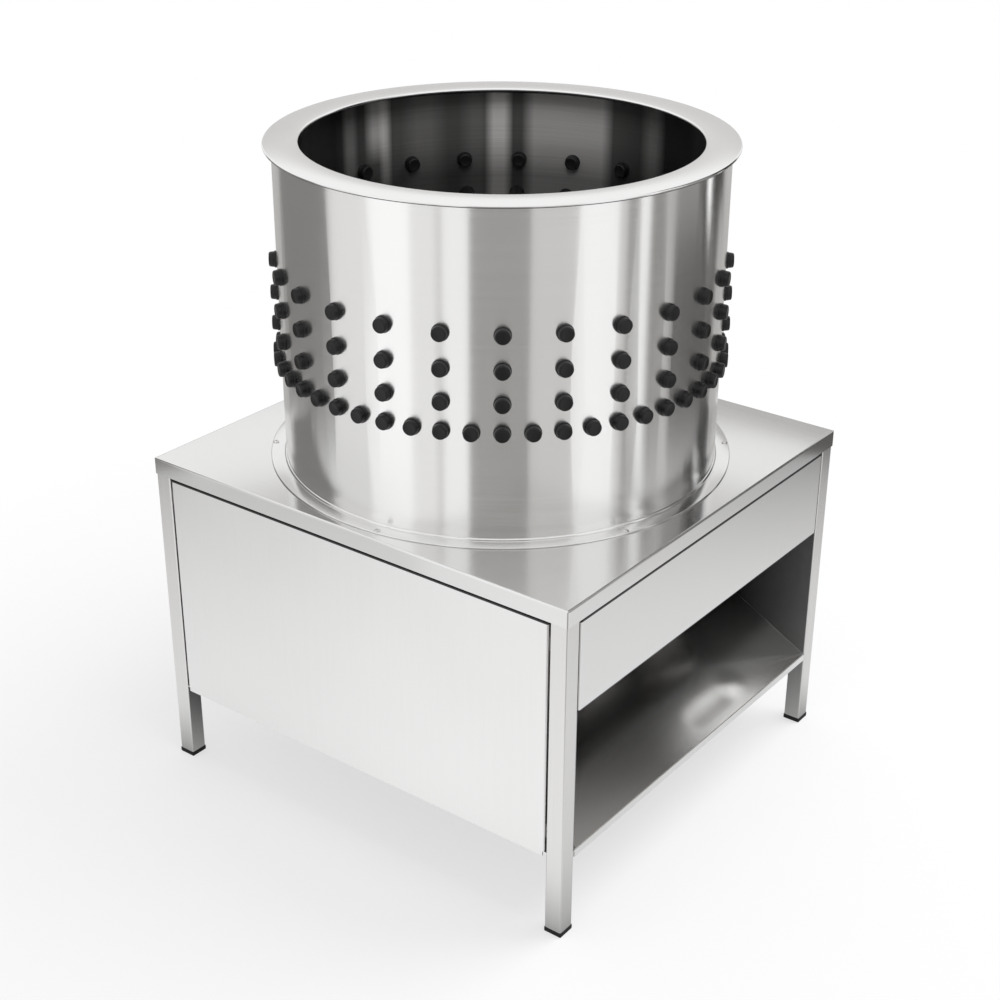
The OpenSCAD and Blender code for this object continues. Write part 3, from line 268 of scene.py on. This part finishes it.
def brushed_steel(name, colour, rough, grain, lines=1.0, stretch=0.0, ring=False, dull_painted_light=None):
    """Stainless with fine long lines of grain. The grain is given as lines per metre along x, y and z,
    or along the radius, x and y for a ring. The last argument may hold a function that says, from the
    tree, the place, the radius and the lines, where the plain finish stays, and gives the colour of
    the rest, which is less metallic and holds painted shade or painted light."""
    finish = bpy.data.materials.new(name)
    wire = fresh_tree(finish)
    place = wire.node("ShaderNodeTexCoord", out="Object")
    flat = wire.node("ShaderNodeVectorMath", {"operation": "MULTIPLY"}, {0: place, 1: (1, 1, 0)})
    radius = wire.node("ShaderNodeVectorMath", {"operation": "LENGTH"}, {0: flat}, "Value")
    along = place
    if ring:
        along = wire.node("ShaderNodeCombineXYZ", {}, {"X": radius, "Y": place.axis("X")})
    along = wire.node("ShaderNodeVectorMath", {"operation": "MULTIPLY"}, {0: along, 1: grain})
    fine = wire.node("ShaderNodeTexNoise", {}, {"Vector": along, "Scale": 1, "Detail": 4, "Roughness": 0.65})
    cloud = wire.node("ShaderNodeTexNoise", {}, {"Vector": place, "Scale": 5, "Detail": 2})
    tone = (fine - 0.5) * (0.5 * lines) + (cloud - 0.5) * 0.3 + 0.5
    skin = tone.mix(tuple(c * 0.86 for c in colour) + (1,), tuple(min(c * 1.06, 1) for c in colour) + (1,))
    matt = (fine - 0.5) * (0.18 * lines) + (cloud - 0.5) * 0.08 + rough
    metal = 1.0
    if dull_painted_light:
        unpainted, shade = dull_painted_light(wire, place, radius, fine)
        skin = unpainted.mix(shade, skin)
        metal = unpainted.ramp(0, 1, 0.15, 1)
    relief = wire.node("ShaderNodeBump", {}, {"Strength": 0.08 * lines, "Distance": 0.0004, "Height": fine})
    shader = wire.node("ShaderNodeBsdfPrincipled", {}, {
        "Base Color": skin, "Roughness": matt, "Metallic": metal, "Normal": relief,
        "Anisotropic": stretch, "Anisotropic Rotation": 0.25})
    wire.node("ShaderNodeOutputMaterial", {}, {"Surface": shader})
    return finish


tube_steel = brushed_steel("tube_steel", (0.82, 0.815, 0.805), 0.3, (500, 500, 5))
# Near black: painted shade for the gap under the table.
rolled_shade_steel = brushed_steel("rolled_shade_steel", (0.05, 0.048, 0.046), 0.55, (60, 60, 60))
dress(tube_steel, "legs")
dress(rolled_shade_steel, "top_rails", "cross_beams")


# Foot caps. Black rubber blocks with rounded lower corners, each moulded with a square plug that
# is pressed into the open end of a leg.
def grained_finish(name, colour, rough, metal=0.0, grit=900.0, relief=0.1, gloss=0.5):
    """Rubber, plastic, paint or cast metal: fine grit in relief and a slow wander of tone."""
    finish = bpy.data.materials.new(name)
    wire = fresh_tree(finish)
    place = wire.node("ShaderNodeTexCoord", out="Object")
    grain = wire.node("ShaderNodeTexNoise", {}, {"Vector": place, "Scale": grit, "Detail": 3})
    cloud = wire.node("ShaderNodeTexNoise", {}, {"Vector": place, "Scale": 12, "Detail": 2})
    tone = (grain - 0.5) * 0.8 + cloud
    skin = tone.mix(tuple(c * 0.75 for c in colour) + (1,), tuple(min(c * 1.3, 1) for c in colour) + (1,))
    matt = (cloud - 0.5) * 0.15 + (grain - 0.5) * 0.1 + rough
    raised = wire.node("ShaderNodeBump", {}, {"Strength": relief, "Distance": 0.0003, "Height": grain})
    shader = wire.node("ShaderNodeBsdfPrincipled", {}, {
        "Base Color": skin, "Roughness": matt, "Metallic": metal, "Normal": raised,
        "Specular IOR Level": gloss})
    wire.node("ShaderNodeOutputMaterial", {}, {"Surface": shader})
    return finish


def soften(piece, width, segments=2, angle=40):
    """Rounds the edges that turn by more than an angle, then smooths the shading."""
    bpy.ops.object.select_all(action="DESELECT")
    piece.select_set(True)
    bpy.context.view_layer.objects.active = piece
    if width:
        bevel = piece.modifiers.new("soft_edges", "BEVEL")
        bevel.width = width
        bevel.segments = segments
        bevel.limit_method = "ANGLE"
        bevel.angle_limit = math.radians(angle)
        bpy.ops.object.modifier_apply(modifier="soft_edges")
    bpy.ops.object.shade_smooth_by_angle(angle=math.radians(angle))


def copied(piece, name, turn=0.0, shift=(0, 0, 0)):
    """A copy with its own mesh, turned round the z axis and then shifted, its place in its mesh."""
    bpy.ops.object.select_all(action="DESELECT")
    piece.select_set(True)
    bpy.context.view_layer.objects.active = piece
    bpy.ops.object.duplicate(linked=False)
    twin = bpy.context.object
    twin.name = name
    twin.rotation_euler.z = turn
    twin.location = shift
    bpy.ops.object.transform_apply(location=True, rotation=True, scale=True)
    return twin


def joined(pieces, name):
    """Makes several pieces one, under a new name."""
    bpy.ops.object.select_all(action="DESELECT")
    for piece in pieces:
        piece.select_set(True)
    bpy.context.view_layer.objects.active = pieces[0]
    bpy.ops.object.join()
    whole = bpy.context.object
    whole.name = name
    whole.data.name = name
    return whole


def settle(piece, finish, body, slot, *stands_for):
    """Gives a modelled piece its finish, its body and the CAD nodes that it stands for."""
    piece.data.materials.clear()
    piece.data.materials.append(finish)
    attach(piece, body)
    if stands_for:
        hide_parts(*stands_for)


leg_wall = 0.0015
leg_side = 0.025
plug_play = 0.0002
feet_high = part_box("foot_caps")[1]
legs_low, legs_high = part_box("legs")
cap_side = leg_side + 2 * (feet_high.x - legs_high.x)
cap_h = legs_low.z
plug_side = leg_side - 2 * leg_wall - plug_play
bpy.ops.object.select_all(action="DESELECT")
bpy.ops.mesh.primitive_cube_add(size=1, location=(0, 0, cap_h / 2), scale=(cap_side, cap_side, cap_h))
foot_cap = bpy.context.object
foot_cap.name = "foot_cap"
bpy.ops.object.transform_apply(location=True, rotation=True, scale=True)
pick(foot_cap, "FACE", lambda face: face.normal.z > 0.9)
bpy.ops.mesh.inset(thickness=(cap_side - plug_side) / 2)
bpy.ops.mesh.extrude_region_move(TRANSFORM_OT_translate={"value": (0, 0, feet_high.z - cap_h)})
bpy.ops.object.mode_set(mode="OBJECT")
soften(foot_cap, 0.0016, 3)
foot_x = feet_high.x - cap_side / 2
foot_y = feet_high.y - cap_side / 2
corners = [copied(foot_cap, "foot_copy", 0, (x * foot_x, y * foot_y, 0))
           for x in (-1, 1) for y in (-1, 1)]
bpy.data.objects.remove(foot_cap)
foot_rubber = grained_finish("foot_rubber", (0.012, 0.012, 0.012), 0.5, gloss=0.3)
settle(joined(corners, "foot_caps_moulded"), foot_rubber, "frame", "foot_rubber", "foot_caps")

# Bearing unit. A primed support plate lies on the beams and carries a cast housing with two
# ball bearings, held by a retaining ring below and closed by a rubber seal above.
primed_steel = grained_finish("primed_steel", (0.42, 0.43, 0.44), 0.45, 0.0, 300)
cast_iron = grained_finish("cast_iron", (0.2, 0.205, 0.215), 0.5, 0.4, 500, 0.3)
ground_steel = grained_finish("ground_steel", (0.62, 0.62, 0.61), 0.22, 1.0, 1200, 0.03)
zinc_plate = grained_finish("zinc_plate", (0.58, 0.58, 0.55), 0.32, 1.0, 700, 0.05)
cage_brass = grained_finish("cage_brass", (0.68, 0.5, 0.22), 0.3, 1.0, 900, 0.05)
dress(primed_steel, "support_plate", "motor_bracket")
dress(cast_iron, "bearing_housing")
dress(zinc_plate, "housing_bolts", "bracket_bolts", "guard_screws", "pulley_bolt")
dress(ground_steel, "bearing_outer_rings", "bearing_inner_rings", "bearing_balls", "retaining_ring")
dress(cage_brass, "bearing_cages")
dress(foot_rubber, "shaft_seal")

# Shaft and belt drive. A ground steel shaft with keyed seats runs in the bearings and carries a
# cast pulley below, turned by a wrapped V-belt from the small pulley on the motor.
belt_rubber = grained_finish("belt_rubber", (0.025, 0.025, 0.025), 0.7, 0.0, 1500, 0.3)
dress(ground_steel, "main_shaft", "spacer_sleeve", "shaft_keys", "motor_shaft")
dress(cast_iron, "driven_pulley", "motor_pulley")
dress(belt_rubber, "v_belt")

# Motor. A finned aluminium housing in semi-gloss grey paint, with its flange bolted under the
# bracket, a pressed fan cover below and a moulded fan inside it.
motor_paint = grained_finish("motor_paint", (0.28, 0.31, 0.34), 0.38, 0.0, 350)
black_plastic = grained_finish("black_plastic", (0.03, 0.03, 0.032), 0.45, 0.0, 1100, 0.15)
dress(motor_paint, "motor_housing", "motor_flange", "fan_cover", "terminal_box_lid")
dress(black_plastic, "motor_fan", "cable_gland")

# Panels and outlet. Satin stainless sheet with folded edges, clipped between the legs: front,
# back and left panels, the apron over the feather outlet, its floor, and the splash walls inside.
top_edge_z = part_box("front_panel")[1].z - 0.0022
low_edge_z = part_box("outlet_apron")[0].z + 0.0008
edge_soft = 0.0006


def folded_top(wire, place, radius, fine):
    """The top edges are painted dark, for the shade in the gap under the table."""
    return place.axis("Z").ramp(top_edge_z - edge_soft, top_edge_z, 1, 0), fine.mix(grey(0.01), grey(0.03))


def folded_apron(wire, place, radius, fine):
    """The apron's folded lower edge is painted dark underneath as well."""
    unpainted, shade = folded_top(wire, place, radius, fine)
    return unpainted * place.axis("Z").ramp(low_edge_z, low_edge_z + edge_soft), shade


satin = ((0.93, 0.93, 0.925), 0.36, (420, 420, 5), 0.5)
panel_steel = brushed_steel("panel_steel", *satin, dull_painted_light=folded_top)
apron_steel = brushed_steel("apron_steel", *satin, dull_painted_light=folded_apron)
guard_steel = brushed_steel("guard_steel", (0.3, 0.295, 0.285), 0.42, (80, 80, 80), 0.6)
dress(panel_steel, "front_panel", "back_panel", "left_panel", "outlet_floor")
dress(apron_steel, "outlet_apron")
dress(guard_steel, "panel_clips", "motor_cover", "belt_guard")


# Feather chute. One stainless sheet folded into a trough with two cheeks, laid on the outlet's
# floor behind the lip. It is steep in front, where it has buckled a little, gentle behind, and
# notched round the splash walls.
def drawn(name, points):
    """A line through points, drawn by extruding one vertex, left in edit mode with all of it selected."""
    bpy.ops.object.select_all(action="DESELECT")
    bpy.ops.mesh.primitive_plane_add(size=0.001)
    piece = bpy.context.object
    piece.name = name
    piece.data.name = name
    bpy.ops.object.mode_set(mode="EDIT")
    bpy.ops.mesh.select_mode(type="VERT")
    bpy.ops.mesh.select_all(action="SELECT")
    bpy.ops.mesh.merge(type="CENTER")
    last = Vector(points[0])
    bpy.ops.transform.translate(value=last)
    for point in points[1:]:
        bpy.ops.mesh.extrude_vertices_move(TRANSFORM_OT_translate={"value": Vector(point) - last})
        last = Vector(point)
    bpy.ops.mesh.select_all(action="SELECT")
    return piece


chute_t = 0.0015
chute_bend_r = 0.0025
chute_gap = 0.0005
chute_run = 0.158
panel_fold = 0.015
steep, gentle = math.tan(math.radians(28)), math.tan(math.radians(8))
chute_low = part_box("outlet_floor")[1].z
cheek_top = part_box("outlet_apron")[0].z - chute_gap
cover_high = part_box("motor_cover")[1]
notch_x = cover_high.x + chute_gap
notch_y = cover_high.y + chute_gap
chute_y = legs_high.y - leg_side - chute_gap
front_x = legs_high.x - chute_t
knee_x = front_x - chute_run
back_x = panel_fold + chute_gap - legs_high.x
knee_z = chute_low + chute_run * steep
chute_line = [(front_x, chute_low), (knee_x, knee_z)]
chute_line += [(x, knee_z + (knee_x - x) * gentle) for x in (notch_x, back_x)]
chute = drawn("outlet_chute_folded", [(x, -chute_y, z) for x, z in chute_line])
for width in (chute_y - notch_y, 2 * notch_y, chute_y - notch_y):
    bpy.ops.mesh.extrude_region_move(TRANSFORM_OT_translate={"value": (0, width, 0)})
pick(chute, "FACE", lambda face: face.center.x < notch_x and abs(face.center.y) < notch_y)
bpy.ops.mesh.delete(type="FACE")
hair = 1e-5


def on_border(edge):
    """Edges along the two sides and the back, where the cheeks rise."""
    ends = [chute.data.vertices[i].co for i in edge.vertices]
    at_side = all(abs(abs(end.y) - chute_y) < hair for end in ends)
    return at_side or all(end.x < back_x + hair for end in ends)


pick(chute, "EDGE", on_border)
bpy.ops.mesh.extrude_region_move(TRANSFORM_OT_translate={"value": (0, 0, cheek_top)})
bpy.ops.transform.resize(value=(1, 1, 0), center_override=(0, 0, cheek_top))
pick(chute, "FACE", lambda face: knee_x < face.center.x and abs(face.center.y) < chute_y - hair)
bpy.ops.mesh.subdivide(number_cuts=24)
buckle_half = 0.0035
# Each buckle: its place along x, where it starts and ends along y, its rise and how far it spreads.
buckles = ((0.319, 0.03, 0.11, -0.0004, 0.024), (0.311, 0.135, 0.15, 0.0006, 0.026))
for buckle_x, first_y, last_y, rise, reach in buckles:
    pick(chute, "VERT", lambda v: abs(v.co.x - buckle_x) < buckle_half and first_y < v.co.y < last_y)
    bpy.ops.transform.translate(value=(0, 0, rise), use_proportional_edit=True, proportional_size=reach)
bpy.ops.mesh.select_all(action="SELECT")
bpy.ops.mesh.normals_make_consistent(inside=False)
bpy.ops.object.mode_set(mode="OBJECT")
# The sheet gets its thickness on the side that its faces point to, which is upwards.
if sum(face.normal.z * face.area for face in chute.data.polygons) < 0:
    bpy.ops.object.mode_set(mode="EDIT")
    bpy.ops.mesh.flip_normals()
    bpy.ops.object.mode_set(mode="OBJECT")
folds = chute.modifiers.new("folds", "BEVEL")
folds.width = chute_bend_r
folds.segments = 3
folds.limit_method = "ANGLE"
folds.angle_limit = math.radians(15)
bpy.ops.object.modifier_apply(modifier="folds")
sheet = chute.modifiers.new("sheet", "SOLIDIFY")
sheet.thickness = chute_t
sheet.offset = 1
bpy.ops.object.modifier_apply(modifier="sheet")
soften(chute, 0)


def painted_shade_cheeks(wire, place, radius, fine):
    """The cheeks are painted dark and made less metallic, painted shade for the outlet, less so in front."""
    aside = wire.maths("ABSOLUTE", place.axis("Y")) - chute_y
    cheek_shade_level = place.axis("X").ramp(0.22, 0.335, 0.012, 0.16)
    return aside.ramp(-2 * chute_t, -2 * chute_t + 0.001, 1, 0), cheek_shade_level.mix(grey(0), grey(1))


chute_steel = brushed_steel("chute_steel", (0.8, 0.792, 0.78), 0.18, (420, 5, 5), 0.05, dull_painted_light=painted_shade_cheeks)
settle(chute, chute_steel, "frame", "panel_stainless")

# Gap strips. Black rubber strips under the top rails, just behind the panels, each with a thin
# lip that hangs behind the panel's top edge and fills the gap under the table with black. They are
# painted shade: a black part put in the gap where there is only shade.
panel_t = 0.0015
strip_gap = 0.0003
strip_w = 0.004
strip_t = 0.0012
strip_root = 0.002
strip_lip_t = 0.001
strip_drop = 0.009
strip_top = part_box("top_rails")[0].z
strip_section = [(0, 0), (strip_w, 0), (strip_w, -strip_t), (1.5 * strip_lip_t, -strip_root),
                (strip_lip_t, -strip_drop), (0, -strip_drop)]


def gap_shade_strip(node, turn):
    """A black strip of painted shade along the inside of a panel, made in front and turned round the z axis
    in degrees.
    """
    low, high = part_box(node)
    long_side = max(high.x - low.x, high.y - low.y)
    reach = max(-low.x, -low.y, high.x, high.y)
    half = long_side / 2 - panel_t - strip_gap
    inner = panel_t + strip_gap - reach
    section = [(-half, inner + depth, strip_top + drop) for depth, drop in strip_section]
    strip = drawn(node + "_seal", section)
    bpy.ops.mesh.edge_face_add()
    bpy.ops.mesh.extrude_region_move(TRANSFORM_OT_translate={"value": (2 * half, 0, 0)})
    bpy.ops.mesh.select_all(action="SELECT")
    bpy.ops.mesh.normals_make_consistent(inside=False)
    bpy.ops.object.mode_set(mode="OBJECT")
    soften(strip, 0.0003)
    strip.rotation_euler.z = math.radians(turn)
    bpy.ops.object.transform_apply(location=True, rotation=True, scale=True)
    return strip


walls = ("front_panel", "outlet_apron", "back_panel", "left_panel")
shade_strips = [gap_shade_strip(wall, 90 * i) for i, wall in enumerate(walls)]
settle(joined(shade_strips, "gap_shade_strips"), foot_rubber, "frame", "foot_rubber")

# Table top. One stainless sheet with its edges folded down into a skirt and its corners welded
# and polished, brushed along the front.
table_steel = brushed_steel("table_steel", (0.84, 0.838, 0.833), 0.14, (3, 300, 60), 0.35)
dress(table_steel, "table_top")

# Drum wall. A sheet rolled round and welded, punched for the fingers and brushed round the drum,
# so that highlights draw out into upright bands. Its inner face is dull, and its colour holds
# painted shade, darker lower down and darkest just under the rim, and painted reflections in
# upright streaks.
drum_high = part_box("drum_wall")[1]
drum_r = drum_high.x
drum_t = 0.0015
drum_in_r = drum_r - drum_t
rim_shade_z = drum_high.z - 0.013
far_side = math.radians(camera_side + 180)
streaks = ((46, 1, 2, 0.1, 1), (37, 1, 3, 0.34, 0.05), (34, 0.6, 1.6, 0.32, 0.7), (22, 2, 5, 0.08, 1),
           (7, 1, 4, 0.08, 1), (0.5, 1.5, 2.5, 0.62, 1), (-19.5, 10, 3.5, 0.4, 1), (-46.5, 1, 3.5, 0.12, 1))


def drum_inside(wire, place, radius, fine):
    """Less metallic inner face with painted shade: dark, darker lower down and darkest just under the
    rim, with upright streaks painted on the side across from the camera, in place of reflections.
    Each is given by its direction, half width and soft edge in degrees, its brightness and what is
    left of that lower down."""
    turned_place = wire.node("ShaderNodeVectorRotate", {"rotation_type": "Z_AXIS"}, {0: place, 3: -far_side})
    direction = wire.maths("ARCTAN2", turned_place.axis("Y"), turned_place.axis("X")) * (180 / math.pi)
    light = wire.maths("ABSOLUTE", direction).ramp(30, 52, 0.1, 0.015)
    height = place.axis("Z")
    for middle, half, soft, bright, left in streaks:
        light = light + direction.band(middle, half, soft) * height.ramp(0.81, 0.85, left, 1) * bright
    light = light * height.ramp(0.78, 0.84, 0.36, 1) * height.ramp(rim_shade_z, rim_shade_z + 0.0015, 1, 0.05)
    light = light * ((fine - 0.5) * 0.5 + 1)
    return radius.ramp(drum_in_r + 0.2 * drum_t, drum_in_r + 0.6 * drum_t), light.mix(grey(0), grey(1, 0.04))


drum_steel = brushed_steel("drum_steel", (0.93, 0.928, 0.922), 0.2, (3, 3, 600), 0.6, 0.9, dull_painted_light=drum_inside)
dress(drum_steel, "drum_wall")


# Rim. A flat stainless ring welded on top of the drum wall, with a wired bead along its inner and
# outer edge, brushed round.
def arc(centre, radius, start, end, steps):
    """Points of an arc in the plane of an outline, by angles in degrees."""
    turns = [math.radians(start + (end - start) * i / steps) for i in range(steps + 1)]
    return [(centre[0] + radius * math.cos(t), centre[1] + radius * math.sin(t)) for t in turns]


def turned(name, outline, steps):
    """Spins an outline of (radius, height) points round the z axis into a closed piece."""
    piece = drawn(name, [(r, 0, h) for r, h in outline])
    bpy.ops.mesh.spin(steps=steps, angle=2 * math.pi, center=(0, 0, 0), axis=(0, 0, 1))
    bpy.ops.mesh.select_all(action="SELECT")
    bpy.ops.mesh.remove_doubles(threshold=0.000005)
    bpy.ops.mesh.normals_make_consistent(inside=False)
    bpy.ops.object.mode_set(mode="OBJECT")
    return piece


rim_low, rim_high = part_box("drum_rim")
rim_inward = 0.035
rim_t = 0.0015
rim_out_r = rim_high.x
rim_in_r = drum_r - rim_inward
rim_top = rim_high.z
bead_r = (rim_high.z - rim_low.z) / 2
meet = math.degrees(math.asin((bead_r - rim_t) / bead_r))
rim_outline = arc((rim_out_r - bead_r, rim_top - bead_r), bead_r, 90, meet - 180, 14)
rim_outline += arc((rim_in_r + bead_r, rim_top - bead_r), bead_r, -meet, -270, 14)
rim = turned("drum_rim_ring", rim_outline + rim_outline[:1], 240)
soften(rim, 0)


def rim_underside(wire, place, radius, fine):
    """The lower half of the beads is painted dark, for the shade under the rim."""
    return place.axis("Z").ramp(rim_low.z + 0.0012, rim_low.z + 0.002), fine.mix(grey(0.02), grey(0.05))


rim_steel = brushed_steel("rim_steel", (0.9, 0.898, 0.893), 0.16, (700, 6, 0), 0.3, 0.5, ring=True,
                          dull_painted_light=rim_underside)
settle(rim, rim_steel, "frame", "drum_stainless", "drum_rim")

# Foot flange. A turned stainless ring that holds the drum on the table, with a rounded bead in
# the corner at the wall and a rounded outer edge.
flange_low, flange_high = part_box("drum_flange")
flange_t = 0.002
flange_play = 0.00002
wall_bead_r = 0.65 * (flange_high.z - flange_low.z - flange_t)
flange_in_r = drum_r + flange_play
flange_out_r = flange_high.x
flange_outline = [(flange_in_r, flange_low.z)]
flange_outline += arc((flange_out_r - flange_t / 2, flange_low.z + flange_t / 2), flange_t / 2, -90, 90, 6)
flange_outline += arc((flange_in_r, flange_low.z + flange_t), wall_bead_r, 0, 90, 8)
flange = turned("drum_flange_ring", flange_outline + flange_outline[:1], 240)
soften(flange, 0)
flange_steel = brushed_steel("flange_steel", (0.86, 0.858, 0.853), 0.14, (700, 6, 0), 0.12, 0.3, ring=True)
settle(flange, flange_steel, "frame", "drum_stainless", "drum_flange")

# Flange screws. Small domed stainless screws with a hexagon socket, six of them through the
# flange and the table.
screws_low, screws_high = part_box("flange_screws")
screw_count = 6
screw_r = 0.002
socket_r = 0.0013
socket_depth = 0.0015
head_r = 2 * screw_r
head_h = screws_high.z - flange_low.z - flange_t
screw_circle = flange_out_r - 1.25 * 2 * screw_r
screw_seat = flange_low.z + flange_t
dome_r = head_r + head_h
screw_outline = [(0, screws_low.z), (screw_r, screws_low.z), (screw_r, screw_seat), (head_r, screw_seat)]
screw_outline += arc((0, screw_seat + head_h - dome_r), dome_r, 50, 90, 5)
screw = turned("flange_screw", screw_outline, 24)
soften(screw, 0)
bpy.ops.object.select_all(action="DESELECT")
bpy.ops.mesh.primitive_cylinder_add(vertices=6, radius=socket_r, depth=2 * socket_depth,
                                    location=(0, 0, screws_high.z))
socket = bpy.context.object
bpy.ops.object.transform_apply(location=True, rotation=True, scale=True)
bpy.context.view_layer.objects.active = screw
cut = screw.modifiers.new("socket", "BOOLEAN")
cut.object = socket
cut.operation = "DIFFERENCE"
bpy.ops.object.modifier_apply(modifier="socket")
bpy.data.objects.remove(socket)
screw.data.transform(Matrix.Translation((screw_circle, 0, 0)))
first_screw = math.radians(camera_side + 90)
screw_step = 2 * math.pi / screw_count
screws = [copied(screw, "screw_copy", first_screw + i * screw_step) for i in range(screw_count)]
bpy.data.objects.remove(screw)
screw_steel = grained_finish("screw_steel", (0.74, 0.735, 0.725), 0.25, 1.0, 900, 0.03)
settle(joined(screws, "flange_screws_domed"), screw_steel, "frame", "drum_stainless", "flange_screws")

# Wall fingers. Black rubber, moulded in one: a two-step head outside the drum, a neck gripped by
# the punched hole, and inside a ribbed finger, or on the far upper row a short stub. The outlines
# of the fingers are in millimetres.
mm = 0.001
finger_steps = 20
first_column = math.radians(camera_side)
far_turn = math.radians(2.5)
neck_r = 8.5
grip = 0.05
head_outline = [(11.1, 0), (11.1, 2.6), (10.7, 3.1), (10.1, 3.2), (10.0, 3.9), (10.3, 4.2)]
head_outline += arc((7.5, 8.1), 2.2, 0, 90, 5) + [(6.9, 10.1), (0, 10.0)]
finger_len = 40
tip_r = 7
base_r = 10
rib_count = 5
rib_h = 1
rib_pitch = (finger_len - tip_r) / (rib_count + 0.5)
ribs = []
for i in range(4 * rib_count, 0, -1):
    along = i * rib_pitch / 4
    swell = rib_h * (1 - math.cos(i * math.pi / 2)) / 2
    ribs.append((base_r + (tip_r - base_r) * along / finger_len + swell, -along))
ribbed_end = arc((0, tip_r - finger_len), tip_r, -90, 0, 4) + ribs + [(base_r, 0)]
stub_outline = [(r, -h) for r, h in reversed(head_outline)]


def finger(name, inner_end, neck):
    """One finger along +X, its inner seat at the origin."""
    points = inner_end + [(neck_r, 0), (neck_r, neck)] + [(r, h + neck) for r, h in head_outline]
    piece = turned(name, [(r * mm, h * mm) for r, h in points], finger_steps)
    soften(piece, 0, angle=35)
    piece.rotation_euler.y = math.pi / 2
    bpy.ops.object.transform_apply(location=True, rotation=True, scale=True)
    return piece


def wall_row(name, node, inner_end, turns):
    """A row of fingers at the height of its CAD node, one at each turn round the drum."""
    low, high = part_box(node)
    seat_r = max(inner_end[-1][0], neck_r)
    seat = math.sqrt((drum_in_r / mm) ** 2 - seat_r ** 2) - grip
    neck = drum_r / mm + grip - seat
    first = finger(name + "_first", inner_end, neck)
    first.data.transform(Matrix.Translation((seat * mm, 0, (low.z + high.z) / 2)))
    row = [copied(first, "finger_copy", turn) for turn in turns]
    bpy.data.objects.remove(first)
    settle(joined(row, name), finger_rubber, "frame", "finger_rubber", node)


def full_row(count):
    steps = [i * 2 * math.pi / count for i in range(count)]
    return [first_column + step + far_turn * max(0, -math.cos(step)) for step in steps]


columns = 25
rear_count = 8
rear_step = math.radians(15.6)
rear_first = first_column + math.pi + far_turn - (rear_count - 1) / 2 * rear_step
rear_turns = [rear_first + i * rear_step for i in range(rear_count)]
finger_rubber = grained_finish("finger_rubber", (0.007, 0.007, 0.007), 0.38, 0.0, 1400, 0.2, 0.35)
wall_row("top_row_fingers", "wall_fingers_top_row", ribbed_end, full_row(columns))
wall_row("second_row_fingers", "wall_fingers_second_row", ribbed_end, full_row(columns))
wall_row("third_row_fingers", "wall_fingers_third_row", ribbed_end, full_row(columns))
wall_row("bottom_row_fingers", "wall_fingers_bottom_row", ribbed_end, full_row(2 * columns))
wall_row("rear_row_fingers", "wall_fingers_rear_row", stub_outline, rear_turns)

# Feather plate. A stainless disc on a cast hub, clamped by a washer and a domed nut, with three
# rings of the same fingers standing on it, heads below.
plate_steel = brushed_steel("plate_steel", (0.72, 0.715, 0.7), 0.3, (500, 6, 0), 0.8, 0.5, ring=True)
dress(plate_steel, "feather_plate", "clamp_washer", "cap_nut")
dress(cast_iron, "plate_hub")
dress(zinc_plate, "hub_bolts")
plate_low, plate_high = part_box("feather_plate")
plate_neck = (plate_high.z - plate_low.z) / mm + 2 * grip
plate_seat = plate_high.z + grip * mm
plate_head_r = 10.9 * mm
upright = finger("upright_finger", ribbed_end, plate_neck)
upright.rotation_euler.y = math.pi / 2
bpy.ops.object.transform_apply(location=True, rotation=True, scale=True)
for ring, count in (("inner", 8), ("middle", 14), ("outer", 20)):
    node = f"plate_fingers_{ring}_ring"
    ring_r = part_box(node)[1].x - plate_head_r
    turns = [i * 2 * math.pi / count for i in range(count)]
    stands = [(ring_r * math.cos(turn), ring_r * math.sin(turn), plate_seat) for turn in turns]
    ring_fingers = [copied(upright, "finger_copy", 0, stand) for stand in stands]
    settle(joined(ring_fingers, f"{ring}_ring_fingers"), finger_rubber, "rotor", "finger_rubber", node)
bpy.data.objects.remove(upright)

# Switch. A moulded black body snapped into the left panel, with a green start button above a red
# stop button, both gloss plastic on springs.
start_green = grained_finish("start_green", (0.03, 0.32, 0.1), 0.28, 0.0, 600, 0.03)
stop_red = grained_finish("stop_red", (0.55, 0.03, 0.03), 0.28, 0.0, 600, 0.03)
dress(black_plastic, "switch_body")
dress(start_green, "start_button")
dress(stop_red, "stop_button")
